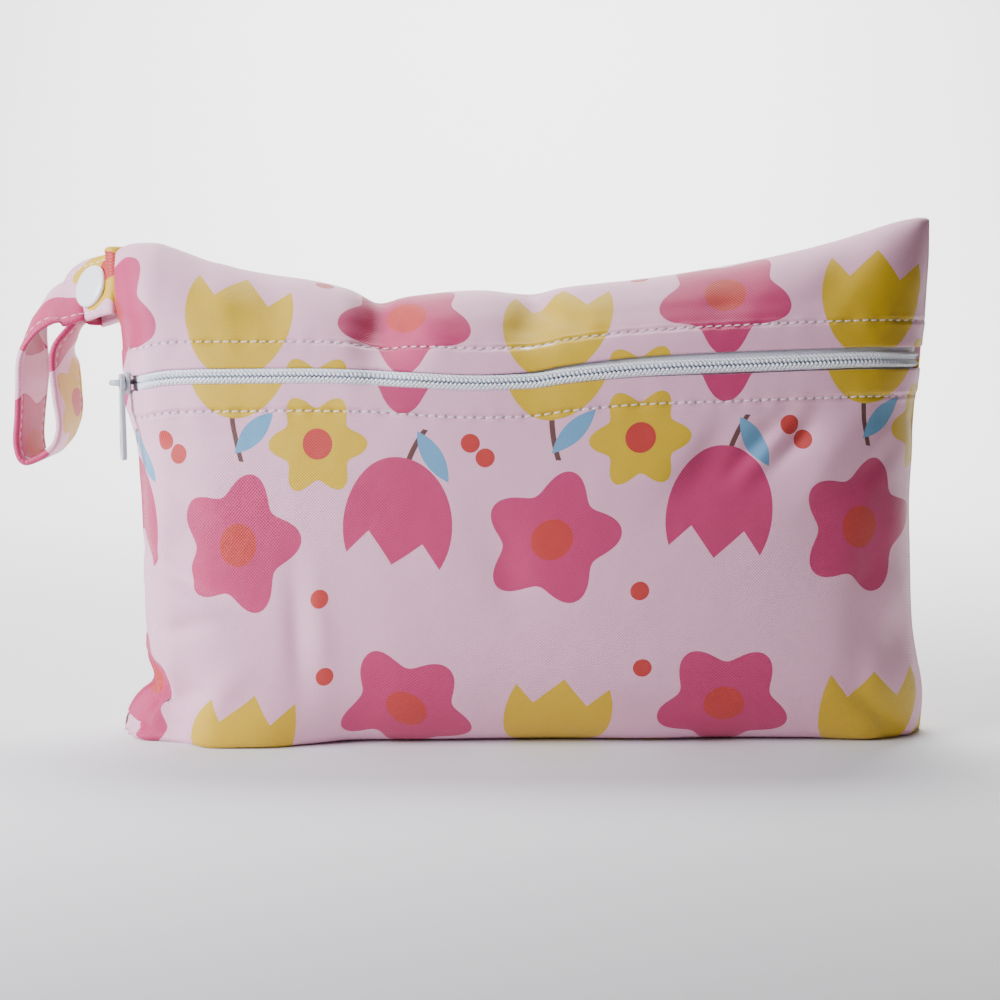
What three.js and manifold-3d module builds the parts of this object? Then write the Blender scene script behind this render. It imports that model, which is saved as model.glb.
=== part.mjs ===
// A small zipped wet bag, stuffed and standing on its base, in millimetres with +Z up. The origin is
// the middle of the base. +X runs to the right along the zip, which is on the -Y side. One cloth
// sleeve is folded at the base and at the top, with a seam at each end, and is open along a zip in
// front. A cloth strap is sewn into the left seam and snapped back on itself to make a hanging loop.
import * as THREE from "three";
import { mergeVertices } from "three/addons/utils/BufferGeometryUtils.js";
import Module from "manifold-3d";

// Bag
const bagWidth = 232;
const bagHeight = 150;
const bagDepth = 60;
const clothWall = 1.1;
const hemWall = 2;
const hemDepth = 7;
const mostOfFlap = 0.6;
const seamThickness = 3;
const seamFade = 0.3;
const baseRoundness = 2.5;
const topRoundness = 2.2;
const fitGap = 0.3;

// Zip
const slotHeight = 7.2;
const tapeThickness = 0.8;
const coilWidth = 2.1;
const coilThickness = 1.8;
const coilSetback = 0.2;
const tapeEnd = 0.3;
const coilEnd = 0.12;

// Slider and puller
const sliderLength = 8;
const sliderAt = -0.973;
const plateThickness = 1.1;
const lipThickness = 0.65;
const neckLength = 1.4;
const neckWidth = 1.4;
const neckSetback = 0.6;
const bowRoom = 0.55;
const hoopRadius = 0.8;
const hoopSpan = 4;
const hoopRise = 2.3;
const pullerLength = 24;
const pullerEyeRadius = 2.6;
const pullerWaist = 4;
const pullerFoot = 5.4;
const pullerThickness = 1.3;
const pullerSlotLength = 6;
const pullerSlotWidth = 1.6;
const pullerCurve = 6;

// Strap
const strapWidth = 19;
const strapThickness = 2;
const strapUp = 0.86;
const strapReach = 27;
const strapDrop = 52;
const strapTail = 6;
const strapFreeEnd = 5.6;
const strapEdge = 0.94;
const strapFold = 0.2;
const strapRootSpread = 0.75;

// Snap
const snapInset = 7.5;
const capRadius = 6.2;
const capThickness = 1.7;
const postRadius = 1;
const flangeRadius = 5;
const socketBase = 0.7;
const socketHeight = 2.3;
const socketRadius = 3.7;
const studFlange = 0.8;
const studRadius = 2.3;

// Each row is a section of the sleeve. "at" is a share of the half width, "base" and "belly" of the
// half depth, and "bellyUp", "zip" and "top" of the height. A larger "shoulder" keeps the section full
// further up.
const sections = [
  { at: -1.0, base: 0.0, belly: 0.0, bellyUp: 0.3, zip: 0.671, top: 0.922, shoulder: 4.0 },
  { at: -0.988, base: 0.12, belly: 0.1, bellyUp: 0.3, zip: 0.671, top: 0.923, shoulder: 4.0 },
  { at: -0.975, base: 0.26, belly: 0.25, bellyUp: 0.3, zip: 0.672, top: 0.925, shoulder: 4.0 },
  { at: -0.96, base: 0.38, belly: 0.4, bellyUp: 0.3, zip: 0.672, top: 0.928, shoulder: 4.0 },
  { at: -0.935, base: 0.43, belly: 0.55, bellyUp: 0.31, zip: 0.674, top: 0.93, shoulder: 3.9 },
  { at: -0.899, base: 0.45, belly: 0.68, bellyUp: 0.31, zip: 0.68, top: 0.93, shoulder: 3.7 },
  { at: -0.846, base: 0.55, belly: 0.76, bellyUp: 0.32, zip: 0.686, top: 0.919, shoulder: 3.4 },
  { at: -0.75, base: 0.74, belly: 0.86, bellyUp: 0.33, zip: 0.689, top: 0.893, shoulder: 3.2 },
  { at: -0.64, base: 0.73, belly: 0.91, bellyUp: 0.33, zip: 0.69, top: 0.875, shoulder: 3.0 },
  { at: -0.5, base: 0.5, belly: 0.95, bellyUp: 0.34, zip: 0.691, top: 0.859, shoulder: 3.0 },
  { at: -0.41, base: 0.32, belly: 0.97, bellyUp: 0.35, zip: 0.69, top: 0.841, shoulder: 3.2 },
  { at: -0.345, base: 0.29, belly: 0.98, bellyUp: 0.35, zip: 0.688, top: 0.817, shoulder: 3.4 },
  { at: -0.28, base: 0.29, belly: 0.99, bellyUp: 0.35, zip: 0.685, top: 0.83, shoulder: 3.2 },
  { at: -0.1, base: 0.24, belly: 1.0, bellyUp: 0.35, zip: 0.679, top: 0.842, shoulder: 3.0 },
  { at: 0.022, base: 0.21, belly: 1.0, bellyUp: 0.35, zip: 0.682, top: 0.834, shoulder: 3.0 },
  { at: 0.1, base: 0.2, belly: 1.0, bellyUp: 0.35, zip: 0.691, top: 0.847, shoulder: 3.0 },
  { at: 0.3, base: 0.24, belly: 0.98, bellyUp: 0.35, zip: 0.705, top: 0.864, shoulder: 3.0 },
  { at: 0.5, base: 0.18, belly: 0.93, bellyUp: 0.34, zip: 0.711, top: 0.888, shoulder: 3.0 },
  { at: 0.7, base: 0.22, belly: 0.84, bellyUp: 0.32, zip: 0.716, top: 0.92, shoulder: 3.0 },
  { at: 0.84, base: 0.36, belly: 0.7, bellyUp: 0.31, zip: 0.718, top: 0.95, shoulder: 3.0 },
  { at: 0.91, base: 0.3, belly: 0.54, bellyUp: 0.3, zip: 0.717, top: 0.967, shoulder: 3.0 },
  { at: 0.955, base: 0.25, belly: 0.36, bellyUp: 0.3, zip: 0.716, top: 0.975, shoulder: 3.2 },
  { at: 0.985, base: 0.12, belly: 0.16, bellyUp: 0.3, zip: 0.715, top: 0.979, shoulder: 3.6 },
  { at: 1.0, base: 0.0, belly: 0.0, bellyUp: 0.3, zip: 0.715, top: 0.98, shoulder: 4.0 },
];

// How far each side seam is pulled in. "up" is a share of the height, "left" and "right" of the half
// width. The low rows of "left" make the flattened bottom corner that stands out beyond the body.
const sideSeams = [
  { up: 0.0, left: 0.012, right: 0.009 },
  { up: 0.035, left: 0.021, right: 0.006 },
  { up: 0.06, left: 0.037, right: 0.004 },
  { up: 0.08, left: 0.06, right: 0.005 },
  { up: 0.1, left: 0.09, right: 0.008 },
  { up: 0.15, left: 0.074, right: 0.022 },
  { up: 0.22, left: 0.074, right: 0.036 },
  { up: 0.35, left: 0.073, right: 0.045 },
  { up: 0.45, left: 0.071, right: 0.05 },
  { up: 0.55, left: 0.06, right: 0.045 },
  { up: 0.63, left: 0.037, right: 0.04 },
  { up: 0.7, left: 0.032, right: 0.031 },
  { up: 0.76, left: 0.029, right: 0.026 },
  { up: 0.8, left: 0.02, right: 0.02 },
  { up: 0.88, left: 0.017, right: 0.017 },
  { up: 1.0, left: 0.016, right: 0.018 },
];

// Dents and folds in the cloth. "side" is -1 in front and 1 behind, "at" and "reach" are shares of the
// half width, "up" and "rise" of the height, and "turn" is in degrees. "push" is the share of the half
// depth by which the cloth goes in, or out where it is negative.
const dents = [
  { side: -1, at: -0.33, up: 0.76, reach: 0.06, rise: 0.06, turn: 20, push: 0.15 },
  { side: 1, at: -0.34, up: 0.76, reach: 0.06, rise: 0.07, turn: -20, push: 0.12 },
  { side: -1, at: 0.03, up: 0.79, reach: 0.06, rise: 0.035, turn: 30, push: 0.08 },
  { side: -1, at: -0.2, up: 0.79, reach: 0.06, rise: 0.05, turn: 0, push: -0.04 },
  { side: -1, at: 0.62, up: 0.57, reach: 0.18, rise: 0.045, turn: 32, push: 0.06 },
  { side: -1, at: 0.44, up: 0.53, reach: 0.14, rise: 0.04, turn: 36, push: 0.045 },
  { side: -1, at: -0.88, up: 0.35, reach: 0.06, rise: 0.05, turn: -35, push: 0.07 },
  { side: -1, at: -0.86, up: 0.07, reach: 0.09, rise: 0.05, turn: -55, push: 0.16 },
  { side: -1, at: 0.93, up: 0.2, reach: 0.05, rise: 0.06, turn: 0, push: 0.08 },
  { side: 1, at: 0.45, up: 0.5, reach: 0.3, rise: 0.05, turn: 20, push: 0.05 },
  { side: 1, at: -0.4, up: 0.42, reach: 0.3, rise: 0.05, turn: -15, push: 0.05 },
];

// Puckers run in from the side seams and die out
const puckerCount = 7;
const puckerDepth = 0.7;
const puckerReach = 0.1;

// The strap from the snap, down its front leg, round the foot of the loop and up its back leg. "left"
// and "back" are shares of the reach and "up" of the drop. The edge columns point to the edge that is
// lowest at the seam, and "bow" is how far the strap's middle stands out, as a share of its width.
const strapBends = [
  { left: 0.577, back: 0.367, up: -0.115, edgeX: 0.26, edgeY: -0.73, edgeZ: -0.63, bow: 0.02 },
  { left: 0.724, back: 0.389, up: -0.157, edgeX: 0.19, edgeY: -0.8, edgeZ: -0.56, bow: 0.12 },
  { left: 0.836, back: 0.381, up: -0.242, edgeX: 0.03, edgeY: -0.94, edgeZ: -0.35, bow: 0.18 },
  { left: 0.915, back: 0.359, up: -0.33, edgeX: -0.11, edgeY: -0.98, edgeZ: -0.19, bow: 0.15 },
  { left: 0.966, back: 0.341, up: -0.421, edgeX: -0.23, edgeY: -0.96, edgeZ: -0.14, bow: 0.06 },
  { left: 0.992, back: 0.333, up: -0.562, edgeX: -0.22, edgeY: -0.97, edgeZ: -0.08, bow: 0 },
  { left: 1.023, back: 0.333, up: -0.734, edgeX: -0.18, edgeY: -0.98, edgeZ: -0.06, bow: 0 },
  { left: 1.043, back: 0.333, up: -0.892, edgeX: -0.18, edgeY: -0.98, edgeZ: -0.06, bow: 0 },
  { left: 0.994, back: 0.333, up: -0.975, edgeX: -0.15, edgeY: -0.99, edgeZ: -0.05, bow: 0 },
  { left: 0.849, back: 0.333, up: -0.961, edgeX: -0.11, edgeY: -0.99, edgeZ: -0.06, bow: 0 },
  { left: 0.695, back: 0.333, up: -0.892, edgeX: -0.09, edgeY: -0.99, edgeZ: -0.12, bow: 0 },
  { left: 0.627, back: 0.333, up: -0.811, edgeX: -0.1, edgeY: -0.98, edgeZ: -0.15, bow: 0 },
  { left: 0.606, back: 0.333, up: -0.725, edgeX: -0.14, edgeY: -0.97, edgeZ: -0.17, bow: 0 },
  { left: 0.621, back: 0.333, up: -0.625, edgeX: -0.17, edgeY: -0.98, edgeZ: -0.12, bow: 0 },
  { left: 0.643, back: 0.356, up: -0.49, edgeX: -0.18, edgeY: -0.98, edgeZ: -0.12, bow: 0 },
  { left: 0.653, back: 0.385, up: -0.386, edgeX: -0.11, edgeY: -0.99, edgeZ: -0.13, bow: 0.04 },
  { left: 0.602, back: 0.437, up: -0.298, edgeX: -0.01, edgeY: -0.97, edgeZ: -0.22, bow: 0.08 },
  { left: 0.514, back: 0.519, up: -0.207, edgeX: 0.07, edgeY: -0.9, edgeZ: -0.43, bow: 0.06 },
];
const snapTurn = 38;
const snapDip = 13;
const snapTilt = 18;

// How finely the curved pieces are cut
const stationCount = 40;
const baseSteps = 2;
const frontSteps = 8;
const frontSpacing = 1.5;
const hemSteps = 1;
const flapSteps = 5;
const strapSteps = 44;
const roundSides = 24;
const rodSides = 12;

const halfWidth = bagWidth / 2;
const halfDepth = bagDepth / 2;
const tapeDepth = hemWall + fitGap;
const seamHalf = seamThickness / 2;
const strapHeight = strapUp * bagHeight;
const normalReach = clothWall;

const wasm = await Module();
wasm.setup();

// A smooth curve through one column of a table, with no overshoot between rows
function along(table, key, column, at) {
  const last = table.length - 1;
  if (at <= table[0][key]) return table[0][column];
  if (at >= table[last][key]) return table[last][column];
  let row = 0;
  while (table[row + 1][key] < at) row++;
  const slope = (k) => (table[k + 1][column] - table[k][column]) / (table[k + 1][key] - table[k][key]);
  const tangent = (k) => {
    if (k === 0) return slope(0);
    if (k === last) return slope(last - 1);
    const before = slope(k - 1);
    const after = slope(k);
    return before * after <= 0 ? 0 : (2 * before * after) / (before + after);
  };
  const run = table[row + 1][key] - table[row][key];
  const t = (at - table[row][key]) / run;
  const start = table[row][column];
  const end = table[row + 1][column];
  return (
    start + (end - start) * t * t * (3 - 2 * t) +
    run * (tangent(row) * t * (1 - t) ** 2 - tangent(row + 1) * t * t * (1 - t))
  );
}

const topHeight = (at) => bagHeight * along(sections, "at", "top", at);
const zipHeight = (at) => bagHeight * along(sections, "at", "zip", at);
const bump = (x) => Math.exp(-x * x);

// Half the thickness of the seam, which is thicker where the strap is sewn in
function seamHalfAt(at, z) {
  const strapShare = bump(((z - strapHeight) / (strapWidth * strapRootSpread)) ** 3);
  const swelling = Math.max(0, strapThickness / 2 + fitGap + clothWall - seamHalf);
  return seamHalf + (at < 0 ? swelling * strapShare : 0);
}

// How far a dent pushes the cloth at a place on one side
function dentPush(side, at, z) {
  let push = 0;
  for (const dent of dents) {
    if (dent.side !== side) continue;
    const turn = THREE.MathUtils.degToRad(dent.turn);
    const dx = (at - dent.at) * halfWidth;
    const dz = z - dent.up * bagHeight;
    const longWay = (dx * Math.cos(turn) + dz * Math.sin(turn)) / (dent.reach * halfWidth);
    const shortWay = (dz * Math.cos(turn) - dx * Math.sin(turn)) / (dent.rise * bagHeight);
    push += dent.push * halfDepth * bump(Math.hypot(longWay, shortWay));
  }
  return push;
}

// Distance of the cloth's outer face from the bag's middle plane
function depthAt(side, at, z) {
  const share = (column) => along(sections, "at", column, at);
  const seam = seamHalfAt(at, z);
  const widen = (column) => seam + (halfDepth - seamHalf) * share(column);
  const bellyHeight = bagHeight * share("bellyUp");
  const belly = widen("belly");
  const top = topHeight(at);
  let depth;
  if (z < bellyHeight) {
    const base = widen("base");
    depth = base + (belly - base) * (1 - (1 - z / bellyHeight) ** baseRoundness) ** (1 / baseRoundness);
  } else {
    const t = Math.min(1, (z - bellyHeight) / (top - bellyHeight));
    depth = belly * (1 - t ** share("shoulder")) ** (1 / topRoundness);
  }
  const fade = Math.min(1, Math.max(0, (depth - seam) / (seamFade * halfDepth)));
  const closeness = bump((1 - Math.abs(at)) / puckerReach);
  const pucker = puckerDepth * closeness * Math.sin((z / bagHeight) * puckerCount * 2 * Math.PI + side);
  return depth - fade * (dentPush(side, at, z) + pucker * Math.sin(Math.PI * Math.min(1, z / top)));
}

// A point of the cloth's outer face. Side is -1 in front and 1 behind.
function clothPoint(side, at, z) {
  const inset = along(sideSeams, "up", at < 0 ? "left" : "right", z / bagHeight);
  const x = at * halfWidth * (1 - inset * at * at);
  return new THREE.Vector3(x, side * depthAt(side, at, z), z);
}

// The outward direction of the front cloth
function frontNormal(at, z) {
  const step = 0.004;
  const across = clothPoint(-1, Math.min(1, at + step), z).sub(clothPoint(-1, Math.max(-1, at - step), z));
  const upward = clothPoint(-1, at, z + normalReach).sub(clothPoint(-1, at, z - normalReach));
  return across.cross(upward).normalize();
}

// A point at a height above the zip's middle and a depth behind the front cloth's outer face
function zipPoint(at, lift, depth) {
  const z = zipHeight(at) + lift;
  return clothPoint(-1, at, z).addScaledVector(frontNormal(at, z), -depth);
}

// Shares of the half width at which the sleeve has its sections, closer together near the seams
const stationAt = (k) => Math.sin((k / stationCount - 0.5) * Math.PI);
const stations = Array.from({ length: stationCount + 1 }, (_, k) => stationAt(k));
const slotFirst = 1;
const slotLast = stationCount - 1;

// Heights of the rows up one side of the sleeve, above the flat base
const flapHeight = (at) => topHeight(at) - zipHeight(at) - slotHeight / 2;
const upperHemDepth = (at) => Math.min(hemDepth, flapHeight(at) * mostOfFlap);
function rowHeights(at) {
  const zip = zipHeight(at);
  const top = topHeight(at);
  const lowerHem = zip - slotHeight / 2;
  const upperHem = zip + slotHeight / 2;
  const lowerStitch = lowerHem - hemDepth;
  const upperStitch = upperHem + upperHemDepth(at);
  const heights = [];
  for (let k = 1; k <= frontSteps; k++) heights.push(lowerStitch * (k / frontSteps) ** frontSpacing);
  for (let k = 1; k <= hemSteps; k++) heights.push(lowerStitch + ((lowerHem - lowerStitch) * k) / hemSteps);
  for (let k = 0; k <= hemSteps; k++) heights.push(upperHem + ((upperStitch - upperHem) * k) / hemSteps);
  for (let k = 1; k <= flapSteps; k++) {
    heights.push(upperStitch + (top - upperStitch) * Math.sin((k / flapSteps) * (Math.PI / 2)));
  }
  return heights;
}
const lowerHemRow = baseSteps + frontSteps + hemSteps;
const rowCount = lowerHemRow + 1 + hemSteps + flapSteps;

// One closed ring of the sleeve: up the front from the middle of the base, over the top and down the
// back
function sleeveRing(at) {
  const heights = rowHeights(at);
  const base = depthAt(-1, at, 0);
  const half = (side) => {
    const points = [];
    for (let k = 0; k <= baseSteps; k++) {
      const edge = clothPoint(side, at, 0);
      points.push(new THREE.Vector3(edge.x, (side * base * k) / baseSteps, 0));
    }
    for (const z of heights) points.push(clothPoint(side, at, z));
    points.at(-1).y = 0;
    return points;
  };
  return [...half(-1), ...half(1).slice(1, -1).reverse()];
}

// Builds one indexed geometry from points and faces
function meshOf(points, triangles) {
  const geometry = new THREE.BufferGeometry();
  geometry.setAttribute("position", new THREE.Float32BufferAttribute(points.flatMap((p) => p.toArray()), 3));
  geometry.setIndex(triangles);
  geometry.computeVertexNormals();
  return geometry;
}

// Joins rings of equal length into a closed skin, with a fan over each end
function loft(rings) {
  const size = rings[0].length;
  const points = rings.flat();
  const triangles = [];
  for (let i = 0; i + 1 < rings.length; i++) {
    for (let j = 0; j < size; j++) {
      const next = (j + 1) % size;
      const [a, b, c, d] = [i * size + j, i * size + next, (i + 1) * size + next, (i + 1) * size + j];
      triangles.push(a, b, c, a, c, d);
    }
  }
  for (const [ring, start] of [[rings[0], 0], [rings.at(-1), (rings.length - 1) * size]]) {
    const middle = points.length;
    points.push(ring.reduce((sum, p) => sum.add(p), new THREE.Vector3()).divideScalar(size));
    for (let j = 0; j < size; j++) {
      const next = start + ((j + 1) % size);
      triangles.push(...(start === 0 ? [middle, next, start + j] : [middle, start + j, next]));
    }
  }
  return meshOf(points, triangles);
}

// A closed geometry as a manifold solid, and back
function solidOf(geometry, matrix = new THREE.Matrix4()) {
  const bare = (geometry.index ? geometry.toNonIndexed() : geometry.clone()).applyMatrix4(matrix);
  for (const name of Object.keys(bare.attributes)) if (name !== "position") bare.deleteAttribute(name);
  const merged = mergeVertices(bare, 1e-3);
  return new wasm.Manifold(
    new wasm.Mesh({
      numProp: 3,
      vertProperties: merged.attributes.position.array,
      triVerts: new Uint32Array(merged.index.array),
    }),
  );
}
function geometryOf(solid) {
  const mesh = solid.getMesh();
  const geometry = new THREE.BufferGeometry();
  geometry.setAttribute("position", new THREE.BufferAttribute(new Float32Array(mesh.vertProperties), 3));
  geometry.setIndex(new THREE.BufferAttribute(new Uint32Array(mesh.triVerts), 1));
  geometry.computeVertexNormals();
  return geometry;
}
const cut = (geometry, ...cutters) =>
  geometryOf(cutters.reduce((solid, cutter) => solid.subtract(cutter), solidOf(geometry)));
const fuse = (...solids) => solids.reduce((all, solid) => all.add(solid));

// A block between two corners, as a solid
function block(low, high, matrix) {
  const size = high.map((value, k) => value - low[k]);
  const box = new THREE.BoxGeometry(...size).translate(...low.map((value, k) => value + size[k] / 2));
  return solidOf(box, matrix);
}

// The sleeve's skin: outer and inner cloth faces, open along the zip between the two hems
function sleeveGeometry() {
  const outer = stations.map(sleeveRing);
  const size = outer[0].length;
  const across = (i, j) => outer[Math.min(i + 1, stationCount)][j].clone().sub(outer[Math.max(i - 1, 0)][j]);
  const around = (i, j) => outer[i][(j + 1) % size].clone().sub(outer[i][(j + size - 1) % size]);
  const inner = outer.map((ring, i) =>
    ring.map((point, j) => {
      const normal = across(i, j).cross(around(i, j)).normalize();
      const inHem = j >= lowerHemRow && j <= lowerHemRow + 1;
      const inside = point.clone().addScaledVector(normal, -(inHem ? hemWall : clothWall));
      return inside.setZ(Math.max(inside.z, clothWall));
    }),
  );
  const points = [...outer.flat(), ...inner.flat()];
  const innerStart = outer.length * size;
  const triangles = [];
  const face = (a, b, c, d) => triangles.push(a, b, c, a, c, d);
  const inSlot = (i, j) => j === lowerHemRow && i >= slotFirst && i < slotLast;
  for (let j = 0; j < size; j++) {
    const next = (j + 1) % size;
    for (let i = 0; i < stationCount; i++) {
      if (inSlot(i, j)) continue;
      face(i * size + j, (i + 1) * size + j, (i + 1) * size + next, i * size + next);
      if (i === 0 || i === stationCount - 1) continue;
      const start = innerStart + i * size;
      face(start + next, start + size + next, start + size + j, start + j);
    }
  }
  // The ends, outside and inside, pair each front row with the back row at its height
  const endCap = (start, flip) => {
    for (let j = 0; j < rowCount; j++) {
      const corners = [j, j + 1, size - j - 1, (size - j) % size].map((k) => start + k);
      const ring = flip ? corners.reverse() : corners;
      const distinct = ring.filter((corner, k) => corner !== ring[(k + 1) % 4]);
      triangles.push(distinct[0], distinct[1], distinct[2]);
      if (distinct.length === 4) triangles.push(distinct[0], distinct[2], distinct[3]);
    }
  };
  endCap(0, false);
  endCap(stationCount * size, true);
  endCap(innerStart + size, true);
  endCap(innerStart + (stationCount - 1) * size, false);
  // The cut edges of the hems and of the slot's two ends
  for (let i = slotFirst; i < slotLast; i++) {
    const low = i * size + lowerHemRow;
    const high = low + 1;
    face(low, low + size, innerStart + low + size, innerStart + low);
    face(high + size, high, innerStart + high, innerStart + high + size);
  }
  for (const [i, flip] of [[slotFirst, false], [slotLast, true]]) {
    const low = i * size + lowerHemRow;
    const corners = [low, innerStart + low, innerStart + low + 1, low + 1];
    face(...(flip ? corners.reverse() : corners));
  }
  return meshOf(points, triangles);
}

// A strip that follows the zip, starting and ending a share of the way into the slot's first and last
// section
function zipStrip(cornersAt, endShare) {
  const rings = stations.slice(slotFirst, slotLast + 1).map((at) => {
    return cornersAt(at).map(([lift, depth]) => zipPoint(at, lift, depth));
  });
  const between = (ring, next) => ring.map((point, k) => point.clone().lerp(next[k], endShare));
  rings[0] = between(rings[0], rings[1]);
  rings.push(between(rings.pop(), rings.at(-1)));
  return loft(rings);
}
const mirrored = (corners) => corners.map(([lift, depth]) => [-lift, depth]).reverse();

// Zip: two tapes behind the hems, and two rows of coil in the slot. Corners are heights above the
// zip's middle and depths behind the cloth's outer face.
const tapeCorners = (width) => [
  [fitGap / 2, tapeDepth],
  [fitGap / 2, tapeDepth + tapeThickness],
  [slotHeight / 2, tapeDepth + tapeThickness],
  [slotHeight / 2 + width, clothWall + fitGap + tapeThickness],
  [slotHeight / 2 + width, clothWall + fitGap],
  [slotHeight / 2, tapeDepth],
];
const upperTape = (at) => tapeCorners(upperHemDepth(at));
const lowerTape = () => mirrored(tapeCorners(hemDepth));
const coilBack = tapeDepth - fitGap;
const coilMiddle = fitGap / 2;
const chamfer = coilWidth / 4;
const coilCorners = () => [
  [coilMiddle, coilSetback + chamfer],
  [coilMiddle, coilBack],
  [coilMiddle + coilWidth, coilBack],
  [coilMiddle + coilWidth, coilSetback + chamfer],
  [coilMiddle + coilWidth - chamfer, coilBack - coilThickness],
  [coilMiddle + chamfer, coilBack - coilThickness],
];

// Slider, drawn with the zip's line along X, the tape's width along Y and the cloth's outward side
// along Z
const sliderPlace = (() => {
  const z = zipHeight(sliderAt);
  const outward = frontNormal(sliderAt, z).setZ(0).normalize();
  const up = new THREE.Vector3(0, 0, 1);
  const toFront = up.clone().cross(outward).normalize();
  const centre = clothPoint(-1, sliderAt, z);
  return new THREE.Matrix4().makeBasis(toFront, up, outward).setPosition(centre);
})();
const plateHalf = coilMiddle + coilWidth + fitGap + lipThickness;
const plateFoot = bowRoom / 2;
const plateTop = plateFoot + plateThickness;
const underTop = -(tapeDepth + tapeThickness + bowRoom);
const neckFrom = -sliderLength / 2 + neckSetback;
const hoopFront = hoopSpan / 2;
const cylinderAt = (radius, from, to, x) => {
  const geometry = new THREE.CylinderGeometry(radius, radius, to - from, rodSides);
  geometry.rotateX(Math.PI / 2).translate(x, 0, (from + to) / 2);
  return solidOf(geometry);
};
function sliderSolid() {
  const length = sliderLength / 2;
  const lipFoot = -coilThickness * 0.6;
  const sink = plateThickness / 5;
  const plate = block([-length, -plateHalf, plateFoot], [length, plateHalf, plateTop]);
  const lips = [-1, 1].map((side) => {
    const edges = [side * plateHalf, side * (plateHalf - lipThickness)].sort((a, b) => a - b);
    return block([-length, edges[0], lipFoot], [length, edges[1], plateTop]);
  });
  const under = block([-length, -plateHalf, underTop - plateThickness], [length, plateHalf, underTop]);
  const neckTo = neckFrom + neckLength;
  const neck = block([neckFrom, -neckWidth / 2, underTop - sink], [neckTo, neckWidth / 2, plateTop]);
  const legTop = plateTop + hoopRise;
  const legFoot = plateTop - sink;
  const legs = [-hoopFront, hoopFront].map((x) => cylinderAt(hoopRadius, legFoot, legTop + hoopRadius, x));
  const barTop = legTop + hoopRadius * 1.4;
  const barHalf = hoopFront + hoopRadius;
  const bar = block([-barHalf, -hoopRadius, legTop], [barHalf, hoopRadius, barTop]);
  return fuse(plate, ...lips, under, neck, ...legs, bar);
}
// The room that the slider needs in the tapes and the coil
const neckRoom = block(
  [-sliderLength, -neckWidth / 2 - fitGap, underTop - fitGap],
  [neckFrom + neckLength + fitGap, neckWidth / 2 + fitGap, plateTop],
  sliderPlace,
);
const coilRoom = block(
  [-sliderLength, -slotHeight, -2 * tapeDepth],
  [neckFrom + neckLength + fitGap, slotHeight, plateTop],
  sliderPlace,
);

// Puller: a flat tab with a round eye on the hoop's front leg and a slot near its foot, hanging down
function pullerGeometry() {
  const eyeHole = hoopRadius + fitGap;
  const eyeOpen = Math.PI * 0.28;
  const eyeJoin = [pullerEyeRadius * Math.cos(eyeOpen), -pullerEyeRadius * Math.sin(eyeOpen)];
  const foot = -(pullerLength - pullerEyeRadius);
  const neckAt = foot * 0.25;
  const waistAt = foot * 0.4;
  const flareAt = foot * 0.75;
  const slotTop = foot * 0.66;
  const waist = pullerWaist / 2;
  const wide = pullerFoot / 2;
  const corner = wide * 0.6;
  const outline = new THREE.Shape();
  outline.absarc(0, 0, pullerEyeRadius, -eyeOpen, Math.PI + eyeOpen, false);
  outline.quadraticCurveTo(-waist, neckAt, -waist, waistAt);
  outline.lineTo(-wide, flareAt);
  outline.lineTo(-wide, foot + corner);
  outline.quadraticCurveTo(-wide, foot, corner - wide, foot);
  outline.lineTo(wide - corner, foot);
  outline.quadraticCurveTo(wide, foot, wide, foot + corner);
  outline.lineTo(wide, flareAt);
  outline.lineTo(waist, waistAt);
  outline.quadraticCurveTo(waist, neckAt, ...eyeJoin);
  const eye = new THREE.Path().absarc(0, 0, eyeHole, 0, Math.PI * 2, true);
  const slotHalf = pullerSlotWidth / 2;
  const slot = new THREE.Path();
  slot.absarc(0, slotTop, slotHalf, 0, Math.PI, false);
  slot.absarc(0, slotTop - pullerSlotLength + pullerSlotWidth, slotHalf, Math.PI, Math.PI * 2, false);
  slot.closePath();
  outline.holes.push(eye, slot);
  const depth = pullerThickness;
  return new THREE.ExtrudeGeometry(outline, { depth, bevelEnabled: false, curveSegments: pullerCurve });
}

// Strap: its frame at each row is a centre, the way to its lower edge, and the outward side of its
// front leg
const seamX = clothPoint(-1, -1, strapHeight).x;
const legSpacing = strapThickness + socketHeight + studFlange + 3 * fitGap;
const [snapTurned, snapDipped, snapTilted] = [snapTurn, snapDip, snapTilt].map(THREE.MathUtils.degToRad);
const snapWay = new THREE.Vector3(-Math.cos(snapTurned), Math.sin(snapTurned), 0)
  .multiplyScalar(Math.cos(snapDipped))
  .add(new THREE.Vector3(0, 0, -Math.sin(snapDipped)));
const snapOut = new THREE.Vector3(-Math.sin(snapTurned), -Math.cos(snapTurned), 0);
snapOut.applyAxisAngle(snapWay, snapTilted);
const snapEdge = snapOut.clone().cross(snapWay).normalize();
const strapRoot = new THREE.Vector3(seamX, 0, strapHeight);
const snapCentre = strapRoot.clone().addScaledVector(snapWay, snapInset / Math.cos(snapTurned));
const backCentre = snapCentre.clone().addScaledVector(snapOut, -legSpacing);
const down = new THREE.Vector3(0, 0, -1);

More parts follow.
